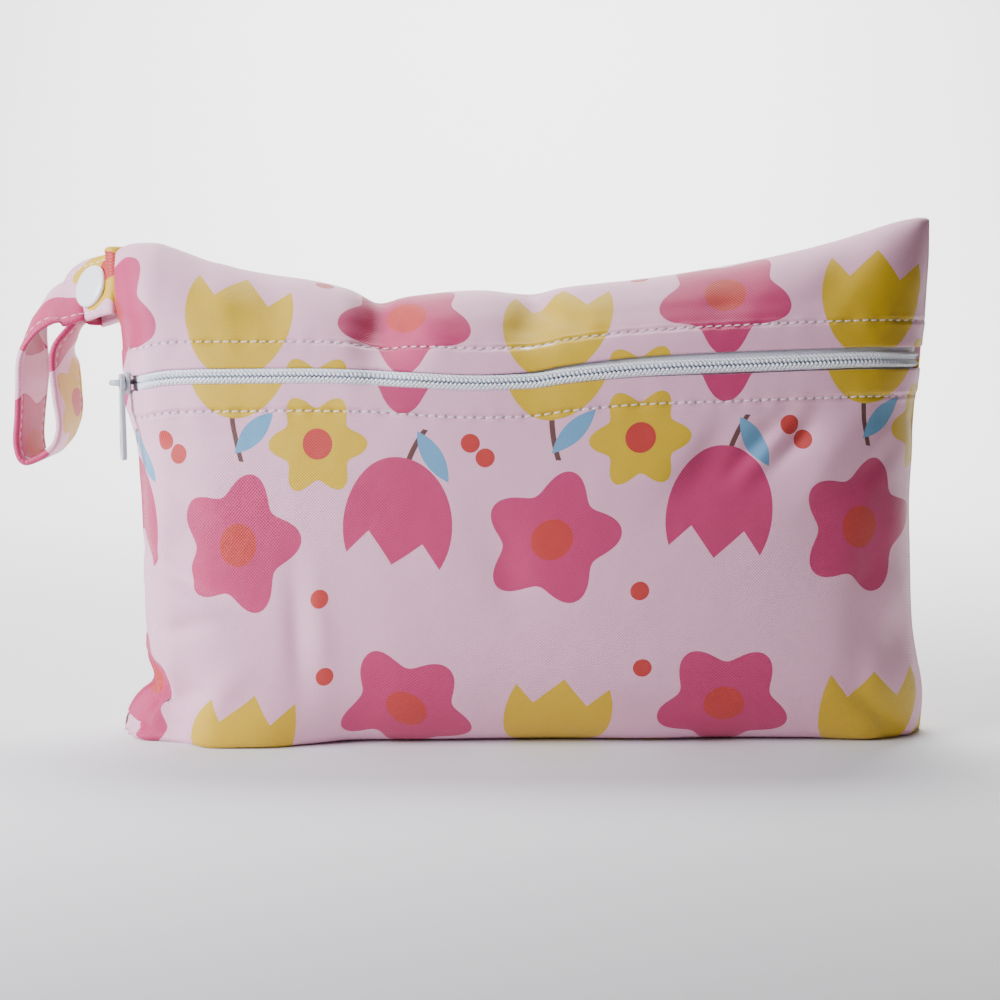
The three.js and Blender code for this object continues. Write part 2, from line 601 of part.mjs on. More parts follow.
function strapFrames() {
  const flat = flangeRadius + fitGap;
  const level = (centre, edge) => ({ centre, edge, bow: 0 });
  const frames = [
    level(strapRoot.clone().add(new THREE.Vector3(strapTail, 0, 0)), down),
    level(strapRoot.clone().add(new THREE.Vector3(clothWall, 0, 0)), down),
    level(strapRoot.clone().add(new THREE.Vector3(-clothWall, 0, 0)), down),
    level(snapCentre.clone().addScaledVector(snapWay, -flat), snapEdge),
    level(snapCentre, snapEdge),
    level(snapCentre.clone().addScaledVector(snapWay, flat), snapEdge),
  ];
  for (const bend of strapBends) {
    const offset = new THREE.Vector3(-bend.left * strapReach, bend.back * strapReach, bend.up * strapDrop);
    const edge = new THREE.Vector3(bend.edgeX, bend.edgeY, bend.edgeZ).normalize();
    frames.push({ centre: strapRoot.clone().add(offset), edge, bow: bend.bow });
  }
  frames.push(
    level(backCentre.clone().addScaledVector(snapWay, flat), snapEdge),
    level(backCentre, snapEdge),
    level(backCentre.clone().addScaledVector(snapWay, -strapFreeEnd), snapEdge),
  );
  return frames;
}

// One cross-section of the strap, as shares of its half width and of its thickness, down one face and
// up the other
const strapFaces = [1, -1].flatMap((face) => {
  const flat = [strapEdge, 0.5, 0, -0.5, -strapEdge].map((w) => [w * face, face / 2]);
  return [...flat, [-face, face * strapFold], [-face, -face * strapFold]];
});

function strapGeometry() {
  const frames = strapFrames();
  const path = new THREE.CatmullRomCurve3(frames.map((f) => f.centre), false, "centripetal");
  const edgePoints = frames.map((f) => f.centre.clone().addScaledVector(f.edge, strapWidth / 2));
  const edges = new THREE.CatmullRomCurve3(edgePoints, false, "centripetal");
  const rings = [];
  for (let k = 0; k <= strapSteps; k++) {
    const t = k / strapSteps;
    const centre = path.getPoint(t);
    const tangent = path.getTangent(t);
    const edge = edges.getPoint(t).sub(centre);
    edge.addScaledVector(tangent, -edge.dot(tangent)).normalize();
    const outward = tangent.clone().cross(edge).normalize();
    const place = t * (frames.length - 1);
    const row = Math.min(frames.length - 2, Math.floor(place));
    const bow = THREE.MathUtils.lerp(frames[row].bow, frames[row + 1].bow, place - row) * strapWidth;
    rings.push(
      strapFaces.map(([w, h]) => {
        const rise = h * strapThickness + bow * (1 - w * w);
        return centre.clone().addScaledVector(edge, (w * strapWidth) / 2).addScaledVector(outward, rise);
      }),
    );
  }
  return loft(rings);
}

// Snap parts turn about the snap's axis, drawn along Y and measured outward from the front leg's middle
const snapPlace = new THREE.Matrix4()
  .makeBasis(snapEdge.clone().cross(snapOut).normalize(), snapOut, snapEdge.clone().negate())
  .setPosition(snapCentre);
function lathe(profile) {
  const points = profile.map(([radius, height]) => new THREE.Vector2(radius, height));
  return new THREE.LatheGeometry(points, roundSides);
}
const legFace = strapThickness / 2 + fitGap;
const backFace = legSpacing + strapThickness / 2 + fitGap;
// The cap's dome, as shares of its radius and of its thickness
const capProfile = [[0.94, 0], [1, 0.35], [0.94, 0.72], [0.7, 0.93], [0, 1]];
const capDome = (foot, sign) =>
  capProfile.map(([radius, height]) => [capRadius * radius, foot + sign * capThickness * height]);
const frontCap = lathe([
  [0, -legFace - socketBase],
  [postRadius, -legFace - socketBase],
  [postRadius, legFace],
  ...capDome(legFace, 1),
]);
const socket = lathe([
  [postRadius + fitGap, -legFace - socketBase],
  [studRadius + fitGap, -legFace - socketBase],
  [studRadius + fitGap, -legFace - socketHeight],
  [socketRadius, -legFace - socketHeight],
  [socketRadius, -legFace - socketBase],
  [flangeRadius, -legFace - socketBase],
  [flangeRadius, -legFace],
  [postRadius + fitGap, -legFace],
  [postRadius + fitGap, -legFace - socketBase],
]);
const studFoot = -(legSpacing - strapThickness / 2 - fitGap);
const studTop = -legFace - socketBase - fitGap;
const stud = lathe([
  [postRadius + fitGap, studFoot],
  [flangeRadius, studFoot],
  [flangeRadius, studFoot + studFlange],
  [studRadius, studFoot + studFlange],
  [studRadius, studTop],
  [postRadius + fitGap, studTop],
  [postRadius + fitGap, studFoot],
]);
const backCap = lathe([
  ...capDome(-backFace, -1).reverse(),
  [postRadius, -backFace],
  [postRadius, studTop - fitGap],
  [0, studTop - fitGap],
]);
// The holes that the two posts make in the strap, and the slit that the strap's tail makes in the seam
const holeRadius = postRadius + fitGap;
const postHole = solidOf(
  new THREE.CylinderGeometry(holeRadius, holeRadius, legSpacing + 4 * strapThickness, rodSides),
  snapPlace.clone().multiply(new THREE.Matrix4().makeTranslation(0, -legSpacing / 2, 0)),
);
const seamSlit = block(
  [seamX - strapTail, -strapThickness / 2 - fitGap, strapHeight - strapWidth / 2 - fitGap],
  [seamX + 2 * strapTail, strapThickness / 2 + fitGap, strapHeight + strapWidth / 2 + fitGap],
);

// Materials
const cloth = new THREE.MeshStandardMaterial({ color: 0xe9c9d3, roughness: 0.75, metalness: 0 });
const strapCloth = new THREE.MeshStandardMaterial({ color: 0xe9b9cc, roughness: 0.75, metalness: 0 });
const zipTape = new THREE.MeshStandardMaterial({ color: 0xe8eaf0, roughness: 0.8, metalness: 0 });
const zipCoil = new THREE.MeshStandardMaterial({ color: 0xf1f3f8, roughness: 0.45, metalness: 0 });
const enamel = new THREE.MeshStandardMaterial({ color: 0xe9ebec, roughness: 0.3, metalness: 0.1 });
const snapPlastic = new THREE.MeshStandardMaterial({ color: 0xf4f5f4, roughness: 0.25, metalness: 0 });

const bag = new THREE.Group();
function add(name, geometry, material, matrix) {
  const mesh = new THREE.Mesh(geometry, material);
  mesh.name = name;
  if (matrix) matrix.decompose(mesh.position, mesh.quaternion, mesh.scale);
  bag.add(mesh);
  return mesh;
}

add("bag_sleeve", cut(sleeveGeometry(), seamSlit), cloth);
add("zip_tape_upper", cut(zipStrip(upperTape, tapeEnd), neckRoom), zipTape);
add("zip_tape_lower", cut(zipStrip(lowerTape, tapeEnd), neckRoom), zipTape);
add("zip_coil_upper", cut(zipStrip(coilCorners, coilEnd), coilRoom), zipCoil);
add("zip_coil_lower", cut(zipStrip(() => mirrored(coilCorners()), coilEnd), coilRoom), zipCoil);
add("zip_slider", geometryOf(sliderSolid()), enamel, sliderPlace);
const pullerPlace = sliderPlace
  .clone()
  .multiply(new THREE.Matrix4().makeTranslation(hoopFront, 0, plateTop + fitGap));
add("zip_puller", pullerGeometry(), enamel, pullerPlace);
add("strap_loop", cut(strapGeometry(), postHole), strapCloth);
add("snap_cap_front", frontCap, snapPlastic, snapPlace);
add("snap_socket", socket, snapPlastic, snapPlace);
add("snap_stud", stud, snapPlastic, snapPlace);
add("snap_cap_back", backCap, snapPlastic, snapPlace);

export default bag;
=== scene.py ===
"""A small stuffed wet bag: printed polyester laminate, a coil zip across the front and a snapped strap.

Lengths are in millimetres until a mesh is made, and metres from there on.
"""
import math

import bmesh
import bpy
import numpy as np
from mathutils import Matrix, Vector

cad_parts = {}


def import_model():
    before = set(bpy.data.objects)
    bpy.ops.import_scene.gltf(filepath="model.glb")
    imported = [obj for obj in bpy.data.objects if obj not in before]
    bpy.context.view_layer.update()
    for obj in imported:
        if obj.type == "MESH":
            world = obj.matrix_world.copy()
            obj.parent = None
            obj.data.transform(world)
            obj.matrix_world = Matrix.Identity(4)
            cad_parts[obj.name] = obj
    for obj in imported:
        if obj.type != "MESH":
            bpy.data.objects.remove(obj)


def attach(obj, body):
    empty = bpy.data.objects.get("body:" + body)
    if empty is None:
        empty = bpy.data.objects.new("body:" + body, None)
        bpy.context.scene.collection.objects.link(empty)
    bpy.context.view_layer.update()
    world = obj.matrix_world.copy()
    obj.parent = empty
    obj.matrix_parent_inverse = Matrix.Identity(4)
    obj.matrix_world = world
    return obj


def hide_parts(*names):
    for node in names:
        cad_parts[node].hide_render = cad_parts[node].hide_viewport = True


MM = 0.001

# The bag, as the solids have it
BAG_WIDTH = 232
BAG_HEIGHT = 150
BAG_DEPTH = 60
HALF_WIDTH = BAG_WIDTH / 2
HALF_DEPTH = BAG_DEPTH / 2
SEAM_HALF = 1.5
SEAM_FADE = 0.3
SEAM_COVER = 1.1
SWELLING_REACH = 0.75
BASE_ROUNDNESS = 2.5
TOP_ROUNDNESS = 2.2
HEM_DEPTH = 7
FIT_GAP = 0.3

# The cloth and its sewing
CLOTH_THICKNESS = 0.5
HEM_THICKNESS = 1.3
HEM_ZONE = 10
HEM_STEP = 0.5
HEM_STEP_RUN = 2
HEM_STEP_END = 26
HEM_STEP_FADE = 12
HEM_GROOVE = 0.35
HEM_GROOVE_WIDTH = 0.7
HEM_PUCKER = 0.16
HEM_PUCKER_WIDTH = 2.5
HEM_PUCKER_RATES = (0.86, 0.11)
TAPE_EDGE = 13.5
TAPE_RIDGE = 0.22
TAPE_RIDGE_WIDTH = 1.1
FOLD_FADE = 10
FRONT_FACING = 0.2
PUSH_LIMIT = 0.6
STITCH_PITCH = 2.6
STITCH_LENGTH = 1.95
STITCH_MARGIN = 2
STITCH_SLANT = 6
THREAD_THICKNESS = 0.42
COLUMNS = 84
HEM_ROWS = 10
ROWS = 100
SETTLE_FRAMES = 24
SETTLE_LIMIT = 5
HELD_LOOSELY = 0.08
HELD_AT_RIDGE = 0.6
RIDGE_HALF = 4
BASE_HELD_TO = 0.5
CLOTH_SETTINGS = {
    "quality": 6,
    "mass": 0.2,
    "tension_stiffness": 40,
    "compression_stiffness": 40,
    "shear_stiffness": 12,
    "bending_stiffness": 0.02,
    "use_pressure": True,
    "uniform_pressure_force": 0.6,
    "pin_stiffness": 1,
}

# The zip
TAPE_DEPTH = 1.6
TAPE_THICKNESS = 0.5
TAPE_LIFTS = (0.15, 2.6, 4.6, 7)
TAPE_TUCK = 0.3
TAPE_END = 0.995
COIL_WIDTH = 2.1
COIL_PITCH = 1.2
COIL_RISE = 0.8
CORE_SINK = 0.2
CORE_LIFT = 1.2
CORE_HALF_WIDTH = 0.92
COIL_START, COIL_STOP = -0.935, 0.985
LOOP_LEAN = 0.12
LOOP_OVERLAP = 0.1
LOOP_SHARE = 0.44
SEWING_LIFT = 1.25
SEWING_SLANT = 35
SEWING_SEAT = 0.97
SEWING_HALF_SIZES = (0.6, 0.24, 0.2)

# The strap and the snap
STRAP_WIDTH = 19
STRAP_THICKNESS = 2
STRAP_HEIGHT = 129
STRAP_REACH = 27
STRAP_DROP = 52
STRAP_TAIL = 6
STRAP_FREE_END = 5.6
STRAP_STITCH_INSET = 2.1
STRAP_EDGE_ROUND = 1.1
STRAP_GROOVE = 0.3
STRAP_GROOVE_WIDTH = 0.6
STRAP_MIDDLE_PRESS = 0.08
STRAP_MIDDLE_FROM = 3
SNAP_INSET = 7.5
SNAP_TURN, SNAP_DIP, SNAP_TILT = 38, 13, 18
CAP_RADIUS = 6.2
CAP_THICKNESS = 1.7
POST_RADIUS = 1
FLANGE_RADIUS = 5
SOCKET_BASE = 0.7
SOCKET_HEIGHT = 2.3
SOCKET_RADIUS = 3.7
STUD_FLANGE = 0.8
STUD_RADIUS = 2.3
LEG_SPACING = STRAP_THICKNESS + SOCKET_HEIGHT + STUD_FLANGE + 3 * FIT_GAP

# The slider and its puller
SLIDER_AT = -0.973
SLIDER_LENGTH = 8
SLIDER_HALF_WIDTH = 3.2
UNDER_PLATE = -3.25
PLATE_CORNER = 1.5
PLATE_TAIL = 0.8
LIP_SIZE = (4.8, 0.6, 1.6)
LIP_AHEAD = 0.8
LIP_INSET = 0.35
LIP_SINK = 0.5
NECK_WIDTH = 1.4
NECK_INSET = 1.3
PLATE_THICKNESS = 1.1
PLATE_FOOT = 0.275
HOOP_RADIUS = 0.8
HOOP_SPAN = 4
HOOP_RISE = 2.3
HOOP_SINK = 0.2
PULLER_LENGTH = 24
PULLER_EYE = 2.6
PULLER_WAIST = 4
PULLER_FOOT = 5.4
PULLER_THICKNESS = 1.3
PULLER_SLOT_LENGTH = 6
PULLER_SLOT_WIDTH = 1.6
PULLER_SLOT_AT = 0.66
PULLER_WAIST_AT = (0.25, 0.4)
PULLER_WIDE_AT = 0.75
PULLER_CORNER = 1.4
PULLER_EDGE = 0.28

# The print, on the flat cloth, as it repeats in every cell
PRINT_CELL = (88, 104)
GROUND = "F0B4CB"
HOT_PINK = "C2386A"
YELLOW = "D9B01C"
CORAL = "C23A36"
BLUE = "6A9FC4"
BROWN = "66403C"
# Tulips: place, turn in degrees, ink, the stem's foot and curl, and the leaf's place and turn
TULIPS = (
    ((20, 30), 8, YELLOW, -30, 4, (7, -22), -50),
    ((64, -18), 188, HOT_PINK, -28, -4, (-7, -21), 50),
)
TULIP_HALVES = (15, 19)
LEAF_HALVES = (8, 2.8)
STEM_TOP = -12
STEM_HALF_WIDTH = 0.75
# Flowers: place, turn in degrees, ink, radius and number of petals
FLOWERS = (
    ((66, 32), 20, HOT_PINK, 19, 5),
    ((18, -22), 70, HOT_PINK, 19, 5),
    ((42, 4), 0, YELLOW, 14, 6),
)
DOTS = ((43, 44), (0, 2), (84, 6), (42, -38))
DOT_RADIUS = 2.6
KNIT_PITCH = 0.9

# The camera
CAMERA_AIM = (-6, -10, 68)
CAMERA_DISTANCE = 520
CAMERA_RISE = 7
CAMERA_LENS = 66.85

# The stage, in metres. Lights: name, place, aim, size, watts, colour and spread in degrees
PAPER = "E8E8E8"
SWEEP_HALF_SIZE = 1.6
SWEEP_BEND = 0.5
SWEEP_RADIUS = 0.5
ROOM_COLOUR = "FFF4EC"
ROOM_STRENGTH = 0.1
LIGHTS = (
    ("window", (-0.42, -0.22, 0.26), (-0.03, 0, 0.07), 0.3, 1.5, "F1F4FF", 90),
    ("backdrop lamp", (0, 0.5, 1.0), (0, 0.95, 0.2), 0.8, 32, "FFFFFF", 140),
)

# The sleeve's sections from the left seam to the right one. "at" is a share of the half width, "base" and
# "belly" of the half depth, and "belly_up", "zip" and "top" of the height.
SECTION_COLUMNS = ("at", "base", "belly", "belly_up", "zip", "top", "shoulder")
SECTIONS = (
    (-1.0, 0.0, 0.0, 0.3, 0.671, 0.922, 4.0),
    (-0.988, 0.12, 0.1, 0.3, 0.671, 0.923, 4.0),
    (-0.975, 0.26, 0.25, 0.3, 0.672, 0.925, 4.0),
    (-0.96, 0.38, 0.4, 0.3, 0.672, 0.928, 4.0),
    (-0.935, 0.43, 0.55, 0.31, 0.674, 0.93, 3.9),
    (-0.899, 0.45, 0.68, 0.31, 0.68, 0.93, 3.7),
    (-0.846, 0.55, 0.76, 0.32, 0.686, 0.919, 3.4),
    (-0.75, 0.74, 0.86, 0.33, 0.689, 0.893, 3.2),
    (-0.64, 0.73, 0.91, 0.33, 0.69, 0.875, 3.0),
    (-0.5, 0.5, 0.95, 0.34, 0.691, 0.859, 3.0),
    (-0.41, 0.32, 0.97, 0.35, 0.69, 0.841, 3.2),
    (-0.345, 0.29, 0.98, 0.35, 0.688, 0.817, 3.4),
    (-0.28, 0.29, 0.99, 0.35, 0.685, 0.83, 3.2),
    (-0.1, 0.24, 1.0, 0.35, 0.679, 0.842, 3.0),
    (0.022, 0.21, 1.0, 0.35, 0.682, 0.834, 3.0),
    (0.1, 0.2, 1.0, 0.35, 0.691, 0.847, 3.0),
    (0.3, 0.24, 0.98, 0.35, 0.705, 0.864, 3.0),
    (0.5, 0.18, 0.93, 0.34, 0.711, 0.888, 3.0),
    (0.7, 0.22, 0.84, 0.32, 0.716, 0.92, 3.0),
    (0.84, 0.36, 0.7, 0.31, 0.718, 0.95, 3.0),
    (0.91, 0.3, 0.54, 0.3, 0.717, 0.967, 3.0),
    (0.955, 0.25, 0.36, 0.3, 0.716, 0.975, 3.2),
    (0.985, 0.12, 0.16, 0.3, 0.715, 0.979, 3.6),
    (1.0, 0.0, 0.0, 0.3, 0.715, 0.98, 4.0),
)

# How far each side seam is pulled in, as shares of the height and of the half width
SEAM_COLUMNS = ("up", "left", "right")
SIDE_SEAMS = (
    (0.0, 0.012, 0.009),
    (0.035, 0.021, 0.006),
    (0.06, 0.037, 0.004),
    (0.08, 0.06, 0.005),
    (0.1, 0.09, 0.008),
    (0.15, 0.074, 0.022),
    (0.22, 0.074, 0.036),
    (0.35, 0.073, 0.045),
    (0.45, 0.071, 0.05),
    (0.55, 0.06, 0.045),
    (0.63, 0.037, 0.04),
    (0.7, 0.032, 0.031),
    (0.76, 0.029, 0.026),
    (0.8, 0.02, 0.02),
    (0.88, 0.017, 0.017),
    (1.0, 0.016, 0.018),
)

# Dents: side, at, up, reach, rise, turn in degrees, and push as a share of the half depth
DENTS = (
    (-1, -0.33, 0.76, 0.06, 0.06, 20, 0.15),
    (1, -0.34, 0.76, 0.06, 0.07, -20, 0.12),
    (-1, 0.03, 0.79, 0.06, 0.035, 30, 0.08),
    (-1, -0.2, 0.79, 0.06, 0.05, 0, -0.04),
    (-1, 0.62, 0.57, 0.18, 0.045, 32, 0.06),
    (-1, 0.44, 0.53, 0.14, 0.04, 36, 0.045),
    (-1, -0.88, 0.35, 0.06, 0.05, -35, 0.07),
    (-1, -0.86, 0.07, 0.09, 0.05, -55, 0.16),
    (-1, 0.93, 0.2, 0.05, 0.06, 0, 0.08),
    (1, 0.45, 0.5, 0.3, 0.05, 20, 0.05),
    (1, -0.4, 0.42, 0.3, 0.05, -15, 0.05),
)
PUCKER_COUNT = 7
PUCKER_DEPTH = 0.7
PUCKER_REACH = 0.1

# The strap's bends: how far left, back and up as shares of its reach and drop, the x, y and z of the way to
# its lower edge, and how far its middle stands out as a share of its width
STRAP_BENDS = (
    (0.577, 0.367, -0.115, 0.26, -0.73, -0.63, 0.02),
    (0.724, 0.389, -0.157, 0.19, -0.8, -0.56, 0.12),
    (0.836, 0.381, -0.242, 0.03, -0.94, -0.35, 0.18),
    (0.915, 0.359, -0.33, -0.11, -0.98, -0.19, 0.15),
    (0.966, 0.341, -0.421, -0.23, -0.96, -0.14, 0.06),
    (0.992, 0.333, -0.562, -0.22, -0.97, -0.08, 0),
    (1.023, 0.333, -0.734, -0.18, -0.98, -0.06, 0),
    (1.043, 0.333, -0.892, -0.18, -0.98, -0.06, 0),
    (0.994, 0.333, -0.975, -0.15, -0.99, -0.05, 0),
    (0.849, 0.333, -0.961, -0.11, -0.99, -0.06, 0),
    (0.695, 0.333, -0.892, -0.09, -0.99, -0.12, 0),
    (0.627, 0.333, -0.811, -0.1, -0.98, -0.15, 0),
    (0.606, 0.333, -0.725, -0.14, -0.97, -0.17, 0),
    (0.621, 0.333, -0.625, -0.17, -0.98, -0.12, 0),
    (0.643, 0.356, -0.49, -0.18, -0.98, -0.12, 0),
    (0.653, 0.385, -0.386, -0.11, -0.99, -0.13, 0.04),
    (0.602, 0.437, -0.298, -0.01, -0.97, -0.22, 0.08),
    (0.514, 0.519, -0.207, 0.07, -0.9, -0.43, 0.06),
)

# Folds that lie finer than the solids' dents, on the front: from (x, z) to (x, z), width, and depth, where a
# ridge is negative
FOLDS = (
    ((-38, 122), (-41, 108), 2.6, 1.8),
    ((-36, 119), (-35, 107), 2.2, -1.0),
    ((-33, 120), (-30.5, 111), 2.4, 1.6),
    ((1, 125), (11, 119), 2.6, 1.5),
    ((14, 120), (15.5, 112), 2.2, 1.2),
    ((20, 121), (22, 112), 2.6, -0.8),
    ((-70, 127), (-63, 111), 5.0, 1.2),
    ((-84, 132), (-80, 114), 4.0, -0.6),
    ((60, 130), (52, 114), 5.0, 0.9),
    ((92, 138), (80, 120), 5.0, 0.9),
    ((82, 95), (67, 78), 2.6, 1.5),
    ((78, 96), (63, 79), 2.2, -1.1),
    ((74, 96), (58, 80), 2.2, 1.3),
    ((56, 93), (47, 77), 3.5, 0.9),
    ((90, 91), (74, 68), 5.0, -1.0),
    ((97, 58), (94, 22), 4.5, 1.6),
    ((103, 84), (92, 74), 3.0, 0.9),
    ((94, 14), (106, 3), 2.4, 1.6),
    ((-103, 52), (-83, 44), 2.6, 1.8),
    ((-101, 44), (-82, 38), 3.0, -1.0),
    ((-103, 31), (-88, 35), 2.4, 1.5),
    ((-103, 77), (-87, 65), 3.0, 1.1),
    ((-104, 87), (-91, 83), 2.2, 1.0),
    ((-62, 46), (-61, 20), 2.6, 1.0),
    ((-56, 47), (-54, 24), 3.0, -0.6),
    ((-88, 11), (-77, 22), 4.0, -1.0),
    ((-104, 13), (-94.5, 2), 1.5, -1.1),
    ((-8, 66), (-2, 40), 6.0, 0.8),
    ((24, 14), (50, 9), 4.0, 0.9),
)

# The front panel's edge at the lower left, where the corner is tucked in behind it
EAR_COLUMNS = ("up", "edge")
EAR_EDGE = ((0, -90.5), (3, -94.4), (8, -97), (15, -99.3), (24, -101))
EAR_DEPTH = 4
EAR_SHARPNESS = 0.45
EAR_TOP = 24
EAR_FADE = 8
EAR_FOOT = 4

# How far the two hems' edges stand above and below the zip's middle, as the slot opens to the right
HEM_COLUMNS = ("at", "upper", "lower")
HEM_EDGES = (
    (-1.0, 2.6, -2.6),
    (-0.5, 2.5, -2.5),
    (-0.1, 2.6, -2.5),
    (0.15, 3.4, -2.6),
    (0.5, 3.9, -2.9),
    (1.0, 3.8, -3.1),
)


# --- Shape of the bag -------------------------------------------------------------------------------------

def smooth_column(table, columns, key, column):
    """A smooth curve through one column of a table, with no overshoot between rows."""
    x = np.array([row[columns.index(key)] for row in table], float)
    y = np.array([row[columns.index(column)] for row in table], float)
    slope = np.diff(y) / np.diff(x)
    before, after = slope[:-1], slope[1:]
    product = before * after
    inner = np.where(product > 0, 2 * product / np.where(product > 0, before + after, 1), 0)
    tangent = np.concatenate([slope[:1], inner, slope[-1:]])

    def value(at):
        at = np.clip(at, x[0], x[-1])
        k = np.clip(np.searchsorted(x, at) - 1, 0, len(x) - 2)
        run = x[k + 1] - x[k]
        t = (at - x[k]) / run
        rise = (y[k + 1] - y[k]) * t * t * (3 - 2 * t)
        return y[k] + rise + run * (tangent[k] * t * (1 - t) ** 2 - tangent[k + 1] * t * t * (1 - t))

    return value


section = {name: smooth_column(SECTIONS, SECTION_COLUMNS, "at", name) for name in SECTION_COLUMNS[1:]}
pulled_in = {name: smooth_column(SIDE_SEAMS, SEAM_COLUMNS, "up", name) for name in SEAM_COLUMNS[1:]}
hem_edge = {name: smooth_column(HEM_EDGES, HEM_COLUMNS, "at", name) for name in HEM_COLUMNS[1:]}
ear_edge = smooth_column(EAR_EDGE, EAR_COLUMNS, "up", "edge")


def top_height(at):
    return BAG_HEIGHT * section["top"](at)


def zip_height(at):
    return BAG_HEIGHT * section["zip"](at)


def bump(x):
    return np.exp(-x * x)


def seam_half_at(at, z):
    swelling = max(0, STRAP_THICKNESS / 2 + FIT_GAP + SEAM_COVER - SEAM_HALF)
    near_strap = bump(((z - STRAP_HEIGHT) / (STRAP_WIDTH * SWELLING_REACH)) ** 3)
    return SEAM_HALF + np.where(at < 0, swelling * near_strap, 0)


def dent_push(side, at, z):
    push = np.zeros(np.broadcast(at, z).shape)
    for dent_side, dent_at, up, reach, rise, turn, depth in DENTS:
        if dent_side != side:
            continue
        c, s = math.cos(math.radians(turn)), math.sin(math.radians(turn))
        dx = (at - dent_at) * HALF_WIDTH
        dz = z - up * BAG_HEIGHT
        long_way = (dx * c + dz * s) / (reach * HALF_WIDTH)
        short_way = (dz * c - dx * s) / (rise * BAG_HEIGHT)
        push = push + depth * HALF_DEPTH * bump(np.hypot(long_way, short_way))
    return push


def depth_at(side, at, z):
    """Distance of the cloth's outer face from the bag's middle plane."""
    at, z = np.broadcast_arrays(np.asarray(at, float), np.asarray(z, float))
    seam = seam_half_at(at, z)
    belly_height = BAG_HEIGHT * section["belly_up"](at)
    belly = seam + (HALF_DEPTH - SEAM_HALF) * section["belly"](at)
    base = seam + (HALF_DEPTH - SEAM_HALF) * section["base"](at)
    top = top_height(at)
    low = np.clip(z / belly_height, 0, 1)
    lower = base + (belly - base) * (1 - (1 - low) ** BASE_ROUNDNESS) ** (1 / BASE_ROUNDNESS)
    high = np.clip((z - belly_height) / (top - belly_height), 0, 1)
    upper = belly * (1 - high ** section["shoulder"](at)) ** (1 / TOP_ROUNDNESS)
    depth = np.where(z < belly_height, lower, upper)
    fade = np.clip((depth - seam) / (SEAM_FADE * HALF_DEPTH), 0, 1)
    closeness = bump((1 - np.abs(at)) / PUCKER_REACH)
    pucker = PUCKER_DEPTH * closeness * np.sin(z / BAG_HEIGHT * PUCKER_COUNT * 2 * math.pi + side)
    return depth - fade * (dent_push(side, at, z) + pucker * np.sin(math.pi * np.clip(z / top, 0, 1)))


def cloth_point(side, at, z):
    """Points of the cloth's outer face, one row of x, y, z each. Side is -1 in front and 1 behind."""
    at, z = np.broadcast_arrays(np.asarray(at, float), np.asarray(z, float))
    inset = np.where(at < 0, pulled_in["left"](z / BAG_HEIGHT), pulled_in["right"](z / BAG_HEIGHT))
    return np.stack([at * HALF_WIDTH * (1 - inset * at * at), side * depth_at(side, at, z), z], -1)


def unit(v):
    return v / np.linalg.norm(v, axis=-1, keepdims=True)


def front_normal(at, z):
    step = 0.004
    across = cloth_point(-1, np.minimum(1, at + step), z) - cloth_point(-1, np.maximum(-1, at - step), z)
    upward = cloth_point(-1, at, z + 1) - cloth_point(-1, at, z - 1)
    return unit(np.cross(across, upward))


def zip_point(at, lift, depth):
    """A point at a height above the zip's middle and a depth behind the front cloth's outer face."""
    z = zip_height(at) + lift
    return cloth_point(-1, at, z) - np.asarray(depth, float)[..., None] * front_normal(at, z)


def section_line(at, samples=150):
    """The section from the lower hem down the front, over the base, up the back and down to the upper hem."""
    k = np.linspace(0, 1, samples)
    low = zip_height(at) + hem_edge["lower"](at)
    high = zip_height(at) + hem_edge["upper"](at)
    top = top_height(at)
    front = cloth_point(-1, at, low * (1 - k) ** 2)
    back = cloth_point(1, at, top * (1 - np.cos(math.pi * k)) / 2)
    flap = cloth_point(-1, at, high + (top - high) * (1 - k * k))
    return np.concatenate([front, back, flap[1:]])


def run_of(line):
    """Distances along a line from its start."""
    return np.concatenate([[0], np.cumsum(np.linalg.norm(np.diff(line, axis=0), axis=1))])


def on_line(line, lengths):
    """Points along a line at distances from its start."""
    run = run_of(line)
    return np.stack([np.interp(lengths, run, line[:, k]) for k in range(line.shape[1])], -1)


def sleeve_places():
    """Places of the cloth's rows and columns, and the flat pattern's own coordinates across and along."""
    share = np.linspace(-1, 1, COLUMNS + 1)
    across = 0.7 * share + 0.3 * np.sin(share * math.pi / 2)
    lines = [section_line(at) for at in across]
    girths = [run_of(line)[-1] for line in lines]
    girth = sum(girths) / len(girths)
    hem = np.linspace(0, HEM_ZONE, HEM_ROWS, endpoint=False)
    along = np.concatenate([hem, np.linspace(HEM_ZONE, girth - HEM_ZONE, ROWS), girth - hem[::-1]])
    places = []
    for line, own in zip(lines, girths):
        lengths = HEM_ZONE + (along - HEM_ZONE) * (own - 2 * HEM_ZONE) / (girth - 2 * HEM_ZONE)
        lengths = np.where(along < HEM_ZONE, along, lengths)
        lengths = np.where(along > girth - HEM_ZONE, own - (girth - along), lengths)
        places.append(on_line(line, lengths))
    return np.stack(places, 1), across * HALF_WIDTH, along


def refined(grid, axis=0):
    """A grid with one more point between each two of its points along an axis, on a smooth curve."""
    points = np.moveaxis(grid, axis, 0)
    before = np.concatenate([points[:1] * 2 - points[1:2], points[:-2]])
    after = np.concatenate([points[2:], points[-1:] * 2 - points[-2:-1]])
    found = np.empty((2 * len(points) - 1, *points.shape[1:]))
    found[::2] = points
    found[1::2] = (9 * (points[:-1] + points[1:]) - before - after) / 16
    return np.moveaxis(found, 0, axis)


